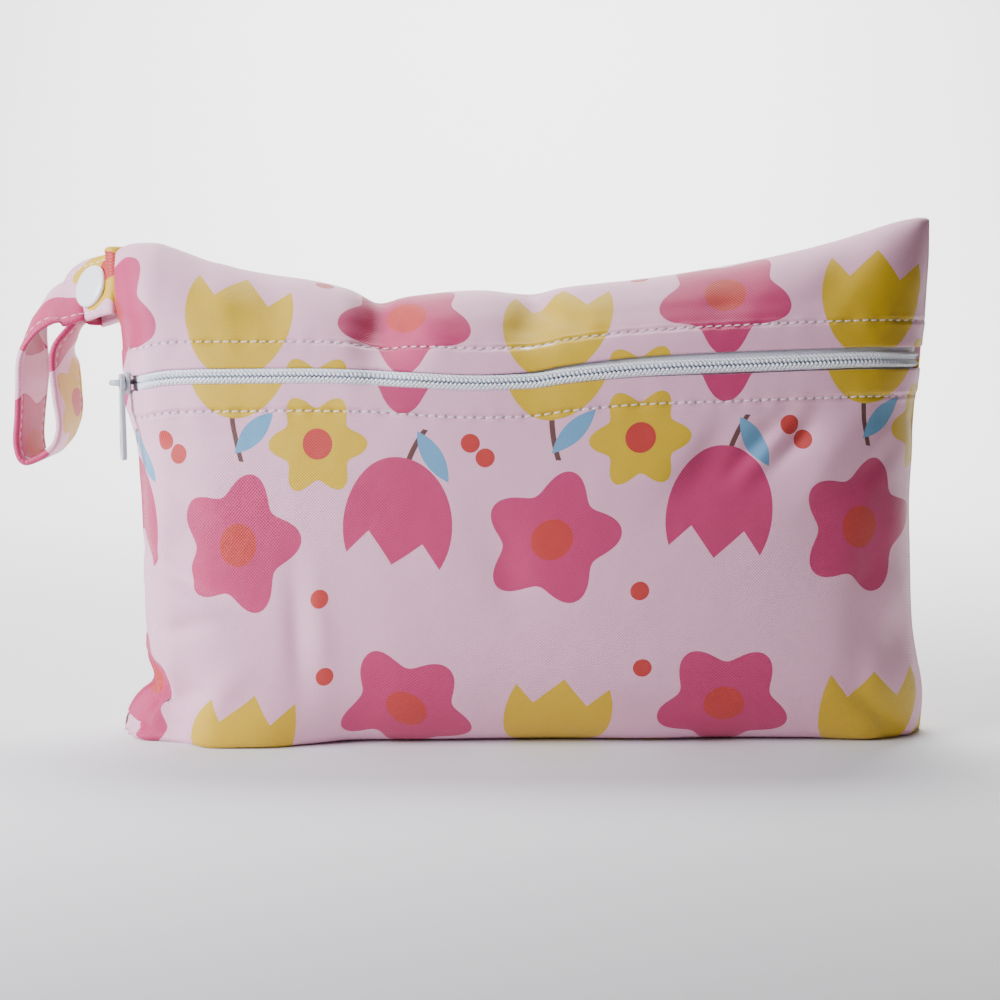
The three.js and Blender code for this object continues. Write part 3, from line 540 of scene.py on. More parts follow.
def fold_push(points):
    """How far the finer folds press the front cloth in, at points given as rows of x, y, z."""
    x, z = points[..., 0], points[..., 2]
    push = np.zeros(x.shape)
    for start, end, width, depth in FOLDS:
        a, b = np.array(start, float), np.array(end, float)
        run = b - a
        share = ((x - a[0]) * run[0] + (z - a[1]) * run[1]) / (run @ run)
        off = ((x - a[0]) * run[1] - (z - a[1]) * run[0]) / np.linalg.norm(run)
        push += depth * bump((share - 0.5) * 1.7) * bump(off / width)
    return push


def ear_push(points):
    """How far the lower left corner lies behind the front panel's edge."""
    x, z = points[..., 0], points[..., 2]
    behind = 1 / (1 + np.exp(np.clip((x - ear_edge(z)) / EAR_SHARPNESS, -30, 30)))
    return EAR_DEPTH * behind * np.clip((EAR_TOP - z) / EAR_FADE, 0, 1) * np.clip(z / EAR_FOOT, 0, 1)


def hem_push(across, along):
    """How far the cloth sinks along a hem's stitches and past its double cloth, a row for each step along."""
    from_edge = np.minimum(along, along[-1] - along)[:, None]
    from_seam = from_edge - HEM_DEPTH
    groove = HEM_GROOVE * bump(from_seam / HEM_GROOVE_WIDTH)
    fade = np.clip((HEM_STEP_END - from_edge) / HEM_STEP_FADE, 0, 1)
    past = HEM_STEP * np.clip(from_seam / HEM_STEP_RUN, 0, 1) * fade
    fast, slow = HEM_PUCKER_RATES
    wave = np.sin(across * fast + 2 * np.sin(across * slow))[None]
    pucker = HEM_PUCKER * wave * bump(from_seam / HEM_PUCKER_WIDTH)
    tape_edge = TAPE_RIDGE * bump((from_edge - TAPE_EDGE) / TAPE_RIDGE_WIDTH)
    return groove + past + pucker + tape_edge


# --- Making meshes ----------------------------------------------------------------------------------------

def mesh_of(name, bm):
    mesh = bpy.data.meshes.new(name)
    bm.to_mesh(mesh)
    bm.free()
    return mesh


def linked(name, data):
    """A new object in the scene."""
    made = bpy.data.objects.new(name, data)
    bpy.context.scene.collection.objects.link(made)
    return made


def new_piece(name, bm, materials, body="bag", sharp=None):
    """A finished piece from a bmesh, riding on a body.
    Edges that turn by more than sharp degrees stay sharp.
    """
    mesh = mesh_of(name, bm)
    for polygon in mesh.polygons:
        polygon.use_smooth = True
    if sharp:
        mesh.set_sharp_from_angle(angle=math.radians(sharp))
    for material in materials:
        mesh.materials.append(material)
    piece = linked(name, mesh)
    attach(piece, body)
    return piece


def grid_mesh(places, flat):
    """A grid of quads moved to its places, in millimetres, with a UV map of flat cloth places in metres."""
    rows, columns = places.shape[:2]
    bm = bmesh.new()
    bmesh.ops.create_grid(bm, x_segments=columns - 1, y_segments=rows - 1, size=1)
    bm.verts.sort(key=lambda v: round(v.co.y * 1e4) * 10 + v.co.x)
    bm.verts.index_update()
    places, flat = places.reshape(-1, 3) * MM, flat.reshape(-1, 2) * MM
    uv = bm.loops.layers.uv.new("flat")
    for face in bm.faces:
        for loop in face.loops:
            loop[uv].uv = flat[loop.vert.index]
    for vert in bm.verts:
        vert.co = places[vert.index]
    bmesh.ops.reverse_faces(bm, faces=bm.faces)
    return bm


def add_modifier(piece, kind, **settings):
    modifier = piece.modifiers.new(kind.title(), kind)
    for key, value in settings.items():
        setattr(modifier, key, value)
    return modifier


def tube_mesh(rings, flat):
    """A closed tube through rings of places, each ring's first place given again at its end."""
    bm = grid_mesh(rings, flat)
    bmesh.ops.remove_doubles(bm, verts=bm.verts, dist=1e-6)
    bmesh.ops.holes_fill(bm, edges=[e for e in bm.edges if e.is_boundary])
    bmesh.ops.recalc_face_normals(bm, faces=bm.faces)
    return bm


def bead_form(segments, rings):
    """A round bead of radius one, to be stretched into loops and stitches."""
    bm = bmesh.new()
    bmesh.ops.create_uvsphere(bm, u_segments=segments, v_segments=rings, radius=1)
    return mesh_of("bead", bm)


def frame_matrix(axes, place):
    """A matrix from three vectors and a place, in millimetres."""
    matrix = Matrix(axes).transposed().to_4x4()
    matrix.translation = Vector(place) * MM
    return matrix


def placed(axes, half_sizes, place):
    """A matrix that stretches a bead along its axes and takes it to its place, in millimetres."""
    return frame_matrix([Vector(axis) * half * MM for axis, half in zip(axes, half_sizes)], place)


def scattered(form, matrices):
    """A bmesh with a copy of a small form at each matrix."""
    bm = bmesh.new()
    for matrix in matrices:
        copy = form.copy()
        copy.transform(matrix)
        bm.from_mesh(copy)
        bpy.data.meshes.remove(copy)
    bmesh.ops.recalc_face_normals(bm, faces=bm.faces)
    return bm


def grid_normals(places):
    across = np.gradient(places, axis=1)
    along = np.gradient(places, axis=0)
    return unit(np.cross(along, across))


class Surface:
    """The bag's cloth as a grid, to find places on it by their flat coordinates."""

    def __init__(self, places, across, along):
        self.places, self.across, self.along = places, across, along
        self.normals = grid_normals(places)

    def at(self, u, v):
        column = np.interp(u, self.across, np.arange(len(self.across)))
        row = np.interp(v, self.along, np.arange(len(self.along)))
        c = np.minimum(column.astype(int), len(self.across) - 2)
        r = np.minimum(row.astype(int), len(self.along) - 2)
        s, t = (column - c)[..., None], (row - r)[..., None]

        def blend(grid):
            low = grid[r, c] * (1 - s) + grid[r, c + 1] * s
            high = grid[r + 1, c] * (1 - s) + grid[r + 1, c + 1] * s
            return low * (1 - t) + high * t

        return blend(self.places), unit(blend(self.normals))


def settle(places, flat, held):
    """Lets the cloth find its own small folds from the stuffed shape, as cloth that was cut flat would."""
    mesh = mesh_of("settling", grid_mesh(places, flat))
    cloth = linked("settling", mesh)
    stuffed = places.reshape(-1, 3) * MM
    cut = np.insert(flat.reshape(-1, 2) * MM, 1, 0, axis=1)
    mesh.vertices.foreach_set("co", cut.ravel())
    cloth.shape_key_add(name="cut flat")
    key = cloth.shape_key_add(name="stuffed")
    key.data.foreach_set("co", stuffed.ravel())
    key.value = 1
    group = cloth.vertex_groups.new(name="held")
    for index, weight in enumerate(held.ravel()):
        group.add([index], float(weight), "REPLACE")
    modifier = cloth.modifiers.new("Cloth", "CLOTH")
    for name, value in CLOTH_SETTINGS.items():
        setattr(modifier.settings, name, value)
    modifier.settings.vertex_group_mass = "held"
    modifier.settings.rest_shape_key = mesh.shape_keys.key_blocks["cut flat"]
    modifier.settings.effector_weights.gravity = 0
    modifier.point_cache.frame_end = SETTLE_FRAMES
    for number in range(1, SETTLE_FRAMES + 1):
        bpy.context.scene.frame_set(number)
    result = cloth.evaluated_get(bpy.context.evaluated_depsgraph_get()).to_mesh()
    settled = np.zeros(stuffed.size)
    result.vertices.foreach_get("co", settled)
    bpy.data.objects.remove(cloth)
    bpy.context.scene.frame_set(1)
    return settled.reshape(places.shape) / MM


def turned_in(places, v_step, sign):
    """Rows that carry a hem's edge round and back inside. Sign is 1 at the lower hem and -1 at the upper."""
    edge, inner = (places[0], places[2]) if sign > 0 else (places[-1], places[-3])
    normal = grid_normals(places)[0 if sign > 0 else -1]
    into = unit(inner - edge)
    rolled = ((-0.3, 0.12, 0.3), (-0.45, 0.5, 0.7), (-0.35, 1.0, 1.2), (0.1, HEM_THICKNESS, 1.8),
              (HEM_DEPTH * 0.5, HEM_THICKNESS, 4.8), (HEM_DEPTH * 0.95, HEM_THICKNESS, 7.8))
    rows = [edge + into * inward - normal * sunk for inward, sunk, _ in rolled]
    return rows, [v_step - sign * away for _, _, away in rolled]


def rolled_seam(places, side):
    """Columns that carry the cloth's end round and back inside, where the side seam is turned in."""
    edge = places[:, 0] if side < 0 else places[:, -1]
    inward = np.array([-side, 0, 0], float)
    toward = edge * np.array([1, 0, 1]) - edge
    rolled = ((-0.35, 0.25), (-0.3, 0.7), (0.6, 0.93), (3.5, 0.96))
    return [edge + inward * across + toward * share for across, share in rolled]


def settled_sleeve(places, across, along):
    """The sleeve's places after the cloth has settled, moved no further than the limit."""
    held = np.full(places.shape[:2], HELD_LOOSELY)
    held[:HEM_ROWS] = held[-HEM_ROWS:] = 1
    held[:, :2] = held[:, -2:] = 1
    held[places[..., 2] < BASE_HELD_TO] = 1
    ridge = (np.abs(places[..., 1]) < RIDGE_HALF) & (places[..., 2] > BAG_HEIGHT / 2)
    held[ridge] = np.maximum(held[ridge], HELD_AT_RIDGE)
    flat = np.stack(np.meshgrid(across, along), -1)
    move = settle(places, flat, held) - places
    length = np.linalg.norm(move, axis=-1, keepdims=True)
    return places + move * np.minimum(1, SETTLE_LIMIT / np.maximum(length, 1e-6))


def pressed_in(places, across, along):
    """The front's places with its folds, tucked corner and hems pressed in, and none below the floor."""
    normals = grid_normals(places)
    front = (normals[..., 1] < FRONT_FACING) & (places[..., 1] < 0)
    from_edge = np.minimum(along, along[-1] - along)[:, None]
    fade = np.clip((from_edge - HEM_DEPTH) / FOLD_FADE, 0, 1)
    push = (fold_push(places) + ear_push(places)) * fade + hem_push(across, along)
    push = np.minimum(push, PUSH_LIMIT * np.abs(places[..., 1]))
    places = places - normals * np.where(front, push, 0)[..., None]
    places[..., 2] = np.maximum(places[..., 2], 0)
    return places


def make_sleeve(materials_for):
    places, across, along = sleeve_places()
    places = settled_sleeve(places, across, along)
    places = refined(refined(places), 1)
    across, along = refined(across), refined(along)
    places = pressed_in(places, across, along)
    cloth = Surface(places, across, along)

    lower, lower_v = turned_in(places, along[0], 1)
    upper, upper_v = turned_in(places, along[-1], -1)
    full = np.concatenate([np.stack(lower[::-1]), places, np.stack(upper)])
    v = np.concatenate([lower_v[::-1], along, upper_v])
    left = np.stack(rolled_seam(full, -1)[::-1], 1)
    right = np.stack(rolled_seam(full, 1), 1)
    full = np.concatenate([left, full, right], 1)
    ends = np.array([0.6, 1.2, 2.2, 5])
    u = np.concatenate([across[0] - ends[::-1], across, across[-1] + ends])
    bm = grid_mesh(full, np.stack(np.meshgrid(u, v), -1))
    piece = new_piece("bag_cloth", bm, materials_for(along[-1]))
    add_modifier(piece, "SOLIDIFY", thickness=CLOTH_THICKNESS * MM, offset=-1, material_offset=1)
    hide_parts("bag_sleeve")
    return cloth


def sew(name, material, places, normals, slant=0):
    """A row of stitches from each place to the next, each a short thread that dips in at both ends."""
    half_sizes = (STITCH_LENGTH / 2, THREAD_THICKNESS / 2, THREAD_THICKNESS / 2)
    matrices = []
    for place, after, normal in zip(places[:-1], places[1:], normals[:-1]):
        out = Vector(normal)
        way = Matrix.Rotation(math.radians(slant), 3, out) @ Vector(after - place).normalized()
        side = out.cross(way).normalized()
        matrices.append(placed((way, side, way.cross(side)), half_sizes, (place + after) / 2))
    return new_piece(name, scattered(bead_form(8, 6), matrices), [material])


def hem_stitches(cloth, thread):
    count = int((BAG_WIDTH - 2 * STITCH_MARGIN) / STITCH_PITCH)
    u = -HALF_WIDTH + STITCH_MARGIN + np.arange(count + 1) * STITCH_PITCH
    for name, v in (("stitches_lower", HEM_DEPTH), ("stitches_upper", cloth.along[-1] - HEM_DEPTH)):
        places, normals = cloth.at(u, np.full(u.shape, float(v)))
        piece = sew(name, thread, places + normals * 0.05, normals, STITCH_SLANT)


def zip_strip(name, lifts, depths, material):
    """A tape that follows the zip from seam to seam."""
    at = np.linspace(-TAPE_END, TAPE_END, 161)
    rows = np.stack([zip_point(at, lift, np.full(at.shape, depth)) for lift, depth in zip(lifts, depths)])
    bm = grid_mesh(rows, np.stack(np.meshgrid(at * HALF_WIDTH, lifts), -1))
    piece = new_piece(name, bm, [material])
    add_modifier(piece, "SOLIDIFY", thickness=TAPE_THICKNESS * MM, offset=-1)
    return piece


def coil_places():
    """Evenly spaced places along the zip's middle, with the ways along it, up the tape and out of it."""
    at = np.linspace(COIL_START, COIL_STOP, 1200)
    run = run_of(zip_point(at, 0.0, np.zeros(at.shape)))
    own = np.interp(np.arange(int(run[-1] / COIL_PITCH)) * COIL_PITCH, run, at)
    ahead = own + 0.002
    way = unit(zip_point(ahead, 0.0, np.zeros(own.shape)) - zip_point(own, 0.0, np.zeros(own.shape)))
    out = front_normal(own, zip_height(own))
    return own, way, unit(np.cross(out, way)), out


def make_coil(name, sign, nylon, thread):
    """One half of the zip: nylon loops round a core cord, and the sewing that lies slanted over them."""
    own, way, up, out = coil_places()
    half_pitch = COIL_PITCH / HALF_WIDTH / 2
    at = own + (half_pitch if sign < 0 else 0)
    depth = np.full(own.shape, TAPE_DEPTH - COIL_RISE)
    centres = zip_point(at, sign * COIL_WIDTH / 2, depth)
    loops, stitches = [], []
    slant = math.radians(SEWING_SLANT)
    sewn = zip_point(at + half_pitch, sign * SEWING_LIFT, depth - COIL_RISE * SEWING_SEAT)
    half_sizes = (COIL_WIDTH / 2 + LOOP_OVERLAP, COIL_PITCH * LOOP_SHARE, COIL_RISE)
    for k in range(len(own)):
        leaning = Vector(up[k] + way[k] * LOOP_LEAN * sign).normalized()
        side = Vector(out[k]).cross(leaning).normalized()
        loops.append(placed((leaning, side, leaning.cross(side)), half_sizes, centres[k]))
        along = Vector(way[k] * math.cos(slant) - up[k] * sign * math.sin(slant))
        side = Vector(out[k]).cross(along).normalized()
        stitches.append(placed((along, side, along.cross(side)), SEWING_HALF_SIZES, sewn[k]))
    coil = new_piece(name, scattered(bead_form(10, 6), loops), [nylon])
    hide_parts(name.replace("teeth", "coil"))
    sewing = new_piece(name.replace("teeth", "sewing"), scattered(bead_form(8, 4), stitches), [thread])
    round_core = np.linspace(0, math.tau, 13)
    half_depth = (2 * COIL_RISE - CORE_SINK) / 2
    lifts = sign * (CORE_LIFT + CORE_HALF_WIDTH * np.cos(round_core))
    depths = TAPE_DEPTH - half_depth - half_depth * np.sin(round_core)
    rings = np.stack([zip_point(own, lift, np.full(own.shape, each)) for lift, each in zip(lifts, depths)], 1)
    core = new_piece(name.replace("teeth", "core"), tube_mesh(rings, rings[..., :2]), [nylon])


def make_zip(tape, nylon, thread):
    for name, sign in (("upper", 1), ("lower", -1)):
        lifts = [sign * lift for lift in TAPE_LIFTS]
        depths = [TAPE_DEPTH, TAPE_DEPTH, TAPE_DEPTH, TAPE_DEPTH + TAPE_TUCK]
        if sign > 0:
            lifts, depths = lifts[::-1], depths[::-1]
        piece = zip_strip("tape_" + name, lifts, depths, tape)
        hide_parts("zip_tape_" + name)
        make_coil("zip_teeth_" + name, sign, nylon, thread)


# --- Strap and snap ---------------------------------------------------------------------------------------

def snap_frame():
    """The snap's place on the strap's front leg, the way along the strap, outward, and to its lower edge."""
    turn, dip, tilt = (math.radians(x) for x in (SNAP_TURN, SNAP_DIP, SNAP_TILT))
    way = Vector((-math.cos(turn) * math.cos(dip), math.sin(turn) * math.cos(dip), -math.sin(dip)))
    out = Matrix.Rotation(tilt, 3, way) @ Vector((-math.sin(turn), -math.cos(turn), 0))
    edge = out.cross(way).normalized()
    root = Vector(cloth_point(-1, -1, STRAP_HEIGHT) * np.array([1, 0, 1]))
    return root, root + way * SNAP_INSET / math.cos(turn), way, out, edge


def smooth_path(points, shares):
    """Points on a centripetal curve through others, at shares of its number of spans."""
    points = [Vector(p) for p in points]
    points = [points[0] * 2 - points[1], *points, points[-1] * 2 - points[-2]]
    found = []
    for share in shares:
        place = share * (len(points) - 3)
        k = min(int(place), len(points) - 4)
        t = place - k
        a, b, c, d = points[k:k + 4]
        before, within, after = ((q - p).length ** 0.5 for p, q in ((a, b), (b, c), (c, d)))
        first = ((b - a) / before - (c - a) / (before + within) + (c - b) / within) * within
        last = ((c - b) / within - (d - b) / (within + after) + (d - c) / after) * within
        square = (c - b) * 3 - first * 2 - last
        cube = (b - c) * 2 + first + last
        found.append(b + first * t + square * t * t + cube * t ** 3)
    return found


def strap_frames(count):
    """Centres, ways to the lower edge, outward ways and bows along the strap."""
    root, snap, way, out, edge = snap_frame()
    back = snap - out * LEG_SPACING
    flat = FLANGE_RADIUS + FIT_GAP
    down = Vector((0, 0, -1))
    rows = [(root + Vector((x, 0, 0)), down, 0) for x in (STRAP_TAIL, SEAM_COVER, -SEAM_COVER)]
    rows += [(snap + way * x, edge, 0) for x in (-flat, 0, flat)]
    for left, behind, up, edge_x, edge_y, edge_z, bow in STRAP_BENDS:
        centre = root + Vector((-left * STRAP_REACH, behind * STRAP_REACH, up * STRAP_DROP))
        rows.append((centre, Vector((edge_x, edge_y, edge_z)).normalized(), bow))
    rows += [(back + way * x, edge, 0) for x in (flat, 0, -STRAP_FREE_END)]
    shares = np.linspace(0, 1, count)
    centres = smooth_path([c for c, _, _ in rows], shares)
    edges = smooth_path([c + e * STRAP_WIDTH / 2 for c, e, _ in rows], shares)
    bows = np.interp(shares * (len(rows) - 1), np.arange(len(rows)), [b for _, _, b in rows])
    frames = []
    for k in range(count):
        tangent = (centres[min(k + 1, count - 1)] - centres[max(k - 1, 0)]).normalized()
        side = edges[k] - centres[k]
        side = (side - tangent * side.dot(tangent)).normalized()
        frames.append((centres[k], side, tangent.cross(side).normalized(), bows[k] * STRAP_WIDTH))
    return frames


def strap_half_thickness(w):
    """Half the strap's thickness across its width: full at the folded edges, pressed in at the stitches."""
    inset = STRAP_WIDTH / 2 - np.abs(w)
    rounded = np.sqrt(np.clip(1 - (1 - np.clip(inset / STRAP_EDGE_ROUND, 0, 1)) ** 2, 0, 1))
    groove = STRAP_GROOVE * bump((inset - STRAP_STITCH_INSET) / STRAP_GROOVE_WIDTH)
    pressed = 1 - groove - STRAP_MIDDLE_PRESS * (inset > STRAP_MIDDLE_FROM)
    return STRAP_THICKNESS / 2 * rounded * pressed


def strap_place(frame, w, face):
    """A place on the strap's face at a distance from its middle."""
    centre, side, out, bow = frame
    lift = face * float(strap_half_thickness(w)) + bow * (1 - (2 * w / STRAP_WIDTH) ** 2)
    return np.array(centre + side * w + out * lift)


def strap_stitches(thread):
    """Two rows of stitches along the strap, each seen on both of its faces."""
    frames = strap_frames(400)
    inset = STRAP_WIDTH / 2 - STRAP_STITCH_INSET
    stitched = []
    for row, w in (("lower", inset), ("upper", -inset)):
        for side, face in (("front", 1), ("back", -1)):
            line = np.stack([strap_place(frame, w, face) for frame in frames])
            outs = np.array([list(out * face) for _, _, out, _ in frames])
            run = run_of(line)
            stops = np.arange(STRAP_TAIL + 0.5, run[-1] - 1, STITCH_PITCH)
            normals = unit(np.stack([np.interp(stops, run, outs[:, k]) for k in range(3)], -1))
            piece = sew(f"strap_stitches_{row}_{side}", thread, on_line(line, stops), normals)
            stitched.append(piece)
    return stitched


def make_strap(material, thread):
    frames = strap_frames(150)
    across = STRAP_WIDTH / 2 * np.sin(np.linspace(-1, 1, 25) * math.pi / 2)
    ring = [(w, 1) for w in across] + [(w, -1) for w in across[-2:0:-1]] + [(across[0], 1)]
    around = np.concatenate([[0], np.cumsum([abs(b[0] - a[0]) + 0.02 for a, b in zip(ring, ring[1:])])])
    run = run_of(np.array([list(frame[0]) for frame in frames]))
    rings = np.array([[strap_place(frame, w, face) for w, face in ring] for frame in frames])
    flat = np.stack(np.meshgrid(around, run)[::-1], -1)
    strap = new_piece("strap", tube_mesh(rings, flat), [material])
    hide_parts("strap_loop")
    add_modifier(strap, "SUBSURF", levels=1, render_levels=1)
    strap_stitches(thread)


def soften(bm, offset, segments):
    """Rounds off every sharp edge."""
    sharp = [e for e in bm.edges if len(e.link_faces) == 2 and e.calc_face_angle() > math.radians(50)]
    bmesh.ops.bevel(bm, geom=sharp, offset=offset, affect="EDGES", segments=segments, profile=0.5,
                    material=-1)


def turned_part(name, node, profile, material):
    """A part turned about the snap's axis from radii and heights out of the strap's front leg."""
    root, place, way, out, edge = snap_frame()
    matrix = frame_matrix((edge.cross(out).normalized(), edge * -1, out), place)
    bm = bmesh.new()
    verts = [bm.verts.new(Vector((radius, 0, height)) * MM) for radius, height in profile]
    edges = [bm.edges.new(pair) for pair in zip(verts, verts[1:])]
    bmesh.ops.spin(bm, geom=verts + edges, axis=(0, 0, 1), cent=(0, 0, 0), steps=48, angle=math.tau,
                   use_merge=True)
    bmesh.ops.remove_doubles(bm, verts=bm.verts, dist=1e-6)
    bmesh.ops.recalc_face_normals(bm, faces=bm.faces)
    soften(bm, 0.12 * MM, 2)
    bmesh.ops.transform(bm, matrix=matrix, verts=bm.verts)
    if matrix.determinant() < 0:
        bmesh.ops.reverse_faces(bm, faces=bm.faces)
    piece = new_piece(name, bm, [material], sharp=50)
    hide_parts(node)
    return piece


def cap_profile(foot, sign):
    """A cap's dome with a rim that rolls back to the cloth."""
    rows = ((0.9, 0.0), (0.95, 0.02), (0.985, 0.12), (1.0, 0.3), (0.99, 0.48), (0.955, 0.64), (0.9, 0.74),
            (0.8, 0.83), (0.6, 0.92), (0.35, 0.98), (0.0, 1.0))
    return [(CAP_RADIUS * r, foot + sign * CAP_THICKNESS * h) for r, h in rows]


def make_snap(plastic):
    face = STRAP_THICKNESS / 2 + 0.02
    back = LEG_SPACING + face
    base, top = -face - SOCKET_BASE, -face - SOCKET_HEIGHT
    stud_foot = -(LEG_SPACING - STRAP_THICKNESS / 2 - FIT_GAP)
    stud_top = base - FIT_GAP
    bore = POST_RADIUS + FIT_GAP
    mouth = STUD_RADIUS + FIT_GAP
    turned_part("snap_cap", "snap_cap_front", [
        (0, base), (POST_RADIUS, base), (POST_RADIUS, face), *cap_profile(face, 1)], plastic)
    turned_part("snap_socket_ring", "snap_socket", [
        (bore, -face), (FLANGE_RADIUS, -face), (FLANGE_RADIUS, base), (SOCKET_RADIUS, base),
        (SOCKET_RADIUS, top), (mouth, top), (mouth, base), (bore, base), (bore, -face)], plastic)
    turned_part("snap_stud_post", "snap_stud", [
        (bore, stud_foot), (FLANGE_RADIUS, stud_foot), (FLANGE_RADIUS, stud_foot + STUD_FLANGE),
        (STUD_RADIUS, stud_foot + STUD_FLANGE), (STUD_RADIUS, stud_top), (bore, stud_top),
        (bore, stud_foot)], plastic)
    turned_part("snap_cap_rear", "snap_cap_back", [
        *cap_profile(-back, -1)[::-1], (POST_RADIUS, -back), (POST_RADIUS, stud_top - FIT_GAP),
        (0, stud_top - FIT_GAP)], plastic)


# --- Slider and puller ------------------------------------------------------------------------------------

def slider_matrix():
    z = float(zip_height(SLIDER_AT))
    out = Vector(front_normal(SLIDER_AT, z))
    out.z = 0
    out.normalize()
    up = Vector((0, 0, 1))
    return frame_matrix((up.cross(out).normalized(), up, out), cloth_point(-1, SLIDER_AT, z))


def block(bm, size, centre):
    """A box in the slider's own frame, as its corners."""
    made = bmesh.ops.create_cube(bm, size=1)["verts"]
    bmesh.ops.scale(bm, vec=size, verts=made)
    bmesh.ops.translate(bm, vec=centre, verts=made)
    return made


def rounded_plate(bm, low):
    """One of the slider's plates, from a height up, with rounded corners and a narrower tail."""
    size = (SLIDER_LENGTH, 2 * SLIDER_HALF_WIDTH, PLATE_THICKNESS)
    made = block(bm, size, (0, 0, low + PLATE_THICKNESS / 2))
    for vert in made:
        if vert.co.x < 0:
            vert.co.y *= PLATE_TAIL
    edges = list({e for v in made for e in v.link_edges})
    upright = [e for e in edges if abs(e.verts[0].co.z - e.verts[1].co.z) > PLATE_THICKNESS / 2]
    bmesh.ops.bevel(bm, geom=upright, offset=PLATE_CORNER, affect="EDGES", segments=5, profile=0.5,
                    material=-1)


def make_slider(enamel):
    bm = bmesh.new()
    top = PLATE_FOOT + PLATE_THICKNESS
    rounded_plate(bm, PLATE_FOOT)
    rounded_plate(bm, UNDER_PLATE - PLATE_THICKNESS)
    for side in (-1, 1):
        block(bm, LIP_SIZE, (LIP_AHEAD, side * (SLIDER_HALF_WIDTH - LIP_INSET), PLATE_FOOT - LIP_SINK))
    block(bm, (NECK_WIDTH, NECK_WIDTH, top - UNDER_PLATE),
          (-SLIDER_LENGTH / 2 + NECK_INSET, 0, (top + UNDER_PLATE) / 2))
    # The hoop is a rod that bends over from one end of the plate to the other
    rod = bmesh.ops.create_circle(bm, cap_ends=True, segments=16, radius=HOOP_RADIUS)
    bmesh.ops.translate(bm, vec=(HOOP_SPAN / 2, 0, top - HOOP_SINK), verts=rod["verts"])
    cap = [f for f in bm.faces if all(v in rod["verts"] for v in f.verts)]
    rise = HOOP_RISE - HOOP_SPAN / 2 + HOOP_RADIUS * 1.4 + HOOP_SINK
    turned = extrude_faces(bm, cap, (0, 0, rise))
    swept = bmesh.ops.spin(bm, geom=turned, cent=(0, 0, top + rise - HOOP_SINK), axis=(0, -1, 0),
                           dvec=(0, 0, 0), angle=math.pi, steps=14, use_merge=False)
    last = [g for g in swept["geom_last"] if isinstance(g, bmesh.types.BMFace)]
    extrude_faces(bm, last, (0, 0, -rise))
    bmesh.ops.remove_doubles(bm, verts=bm.verts, dist=1e-4)
    bmesh.ops.recalc_face_normals(bm, faces=bm.faces)
    soften(bm, 0.18, 3)
    bmesh.ops.scale(bm, vec=(MM, MM, MM), verts=bm.verts)
    bmesh.ops.transform(bm, matrix=slider_matrix(), verts=bm.verts)
    slider = new_piece("slider", bm, [enamel], sharp=40)
    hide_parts("zip_slider")


def extrude_faces(bm, faces, way):
    made = bmesh.ops.extrude_face_region(bm, geom=faces)["geom"]
    bmesh.ops.delete(bm, geom=faces, context="FACES_ONLY")
    verts = [g for g in made if isinstance(g, bmesh.types.BMVert)]
    bmesh.ops.translate(bm, vec=way, verts=verts)
    return [g for g in made if isinstance(g, bmesh.types.BMFace)]


def ring_of(points, curve):
    spline = curve.splines.new("POLY")
    spline.points.add(len(points) - 1)
    for point, (x, y) in zip(spline.points, points):
        point.co = (x * MM, y * MM, 0, 1)
    spline.use_cyclic_u = True


def arc(x, y, radius, start, end, steps):
    angles = np.linspace(math.radians(start), math.radians(end), steps)
    return [(x + radius * math.cos(a), y + radius * math.sin(a)) for a in angles]


def make_puller(enamel):
    """A flat tab with a round eye, a waist and a slotted foot, hanging from the hoop."""
    foot = -(PULLER_LENGTH - PULLER_EYE)
    waist, wide = PULLER_WAIST / 2, PULLER_FOOT / 2
    half_slot = PULLER_SLOT_WIDTH / 2
    slot_top = foot * PULLER_SLOT_AT
    slot_foot = slot_top - PULLER_SLOT_LENGTH + PULLER_SLOT_WIDTH
    inset, corner_at = wide - PULLER_CORNER, foot + PULLER_CORNER
    side = [(waist, foot * share) for share in PULLER_WAIST_AT] + [(wide, foot * PULLER_WIDE_AT)]
    outline = arc(0, 0, PULLER_EYE, -50, 230, 40) + [(-x, y) for x, y in side]
    outline += arc(-inset, corner_at, PULLER_CORNER, 180, 270, 8)
    outline += arc(inset, corner_at, PULLER_CORNER, 270, 360, 8) + side[::-1]
    curve = bpy.data.curves.new("zip puller", "CURVE")
    curve.dimensions = "2D"
    curve.fill_mode = "BOTH"
    curve.extrude = (PULLER_THICKNESS / 2 - PULLER_EDGE) * MM
    curve.bevel_depth = PULLER_EDGE * MM
    curve.bevel_resolution = 3
    curve.offset = -PULLER_EDGE * MM
    ring_of(outline, curve)
    ring_of(arc(0, 0, HOOP_RADIUS + FIT_GAP, 0, 350, 32), curve)
    ring_of(arc(0, slot_top, half_slot, 0, 180, 12) + arc(0, slot_foot, half_slot, 180, 360, 12), curve)
    flat = linked("zip puller", curve)
    bpy.context.view_layer.update()
    mesh = bpy.data.meshes.new_from_object(flat)
    bpy.data.objects.remove(flat)
    top = PLATE_FOOT + PLATE_THICKNESS + FIT_GAP + PULLER_THICKNESS / 2
    bm = bmesh.new()
    bm.from_mesh(mesh)
    bpy.data.meshes.remove(mesh)
    bmesh.ops.remove_doubles(bm, verts=bm.verts, dist=1e-7)
    bmesh.ops.recalc_face_normals(bm, faces=bm.faces)
    matrix = slider_matrix() @ Matrix.Translation(Vector((HOOP_SPAN / 2, 0, top)) * MM)
    bmesh.ops.transform(bm, matrix=matrix, verts=bm.verts)
    puller = new_piece("puller_tab", bm, [enamel], body="puller", sharp=40)
    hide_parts("zip_puller")


# --- Materials --------------------------------------------------------------------------------------------

def linear(code):
    """A linear colour from an sRGB hex one."""
    shares = [int(code[k:k + 2], 16) / 255 for k in (0, 2, 4)]
    return (*[s / 12.92 if s <= 0.04045 else ((s + 0.055) / 1.055) ** 2.4 for s in shares], 1)


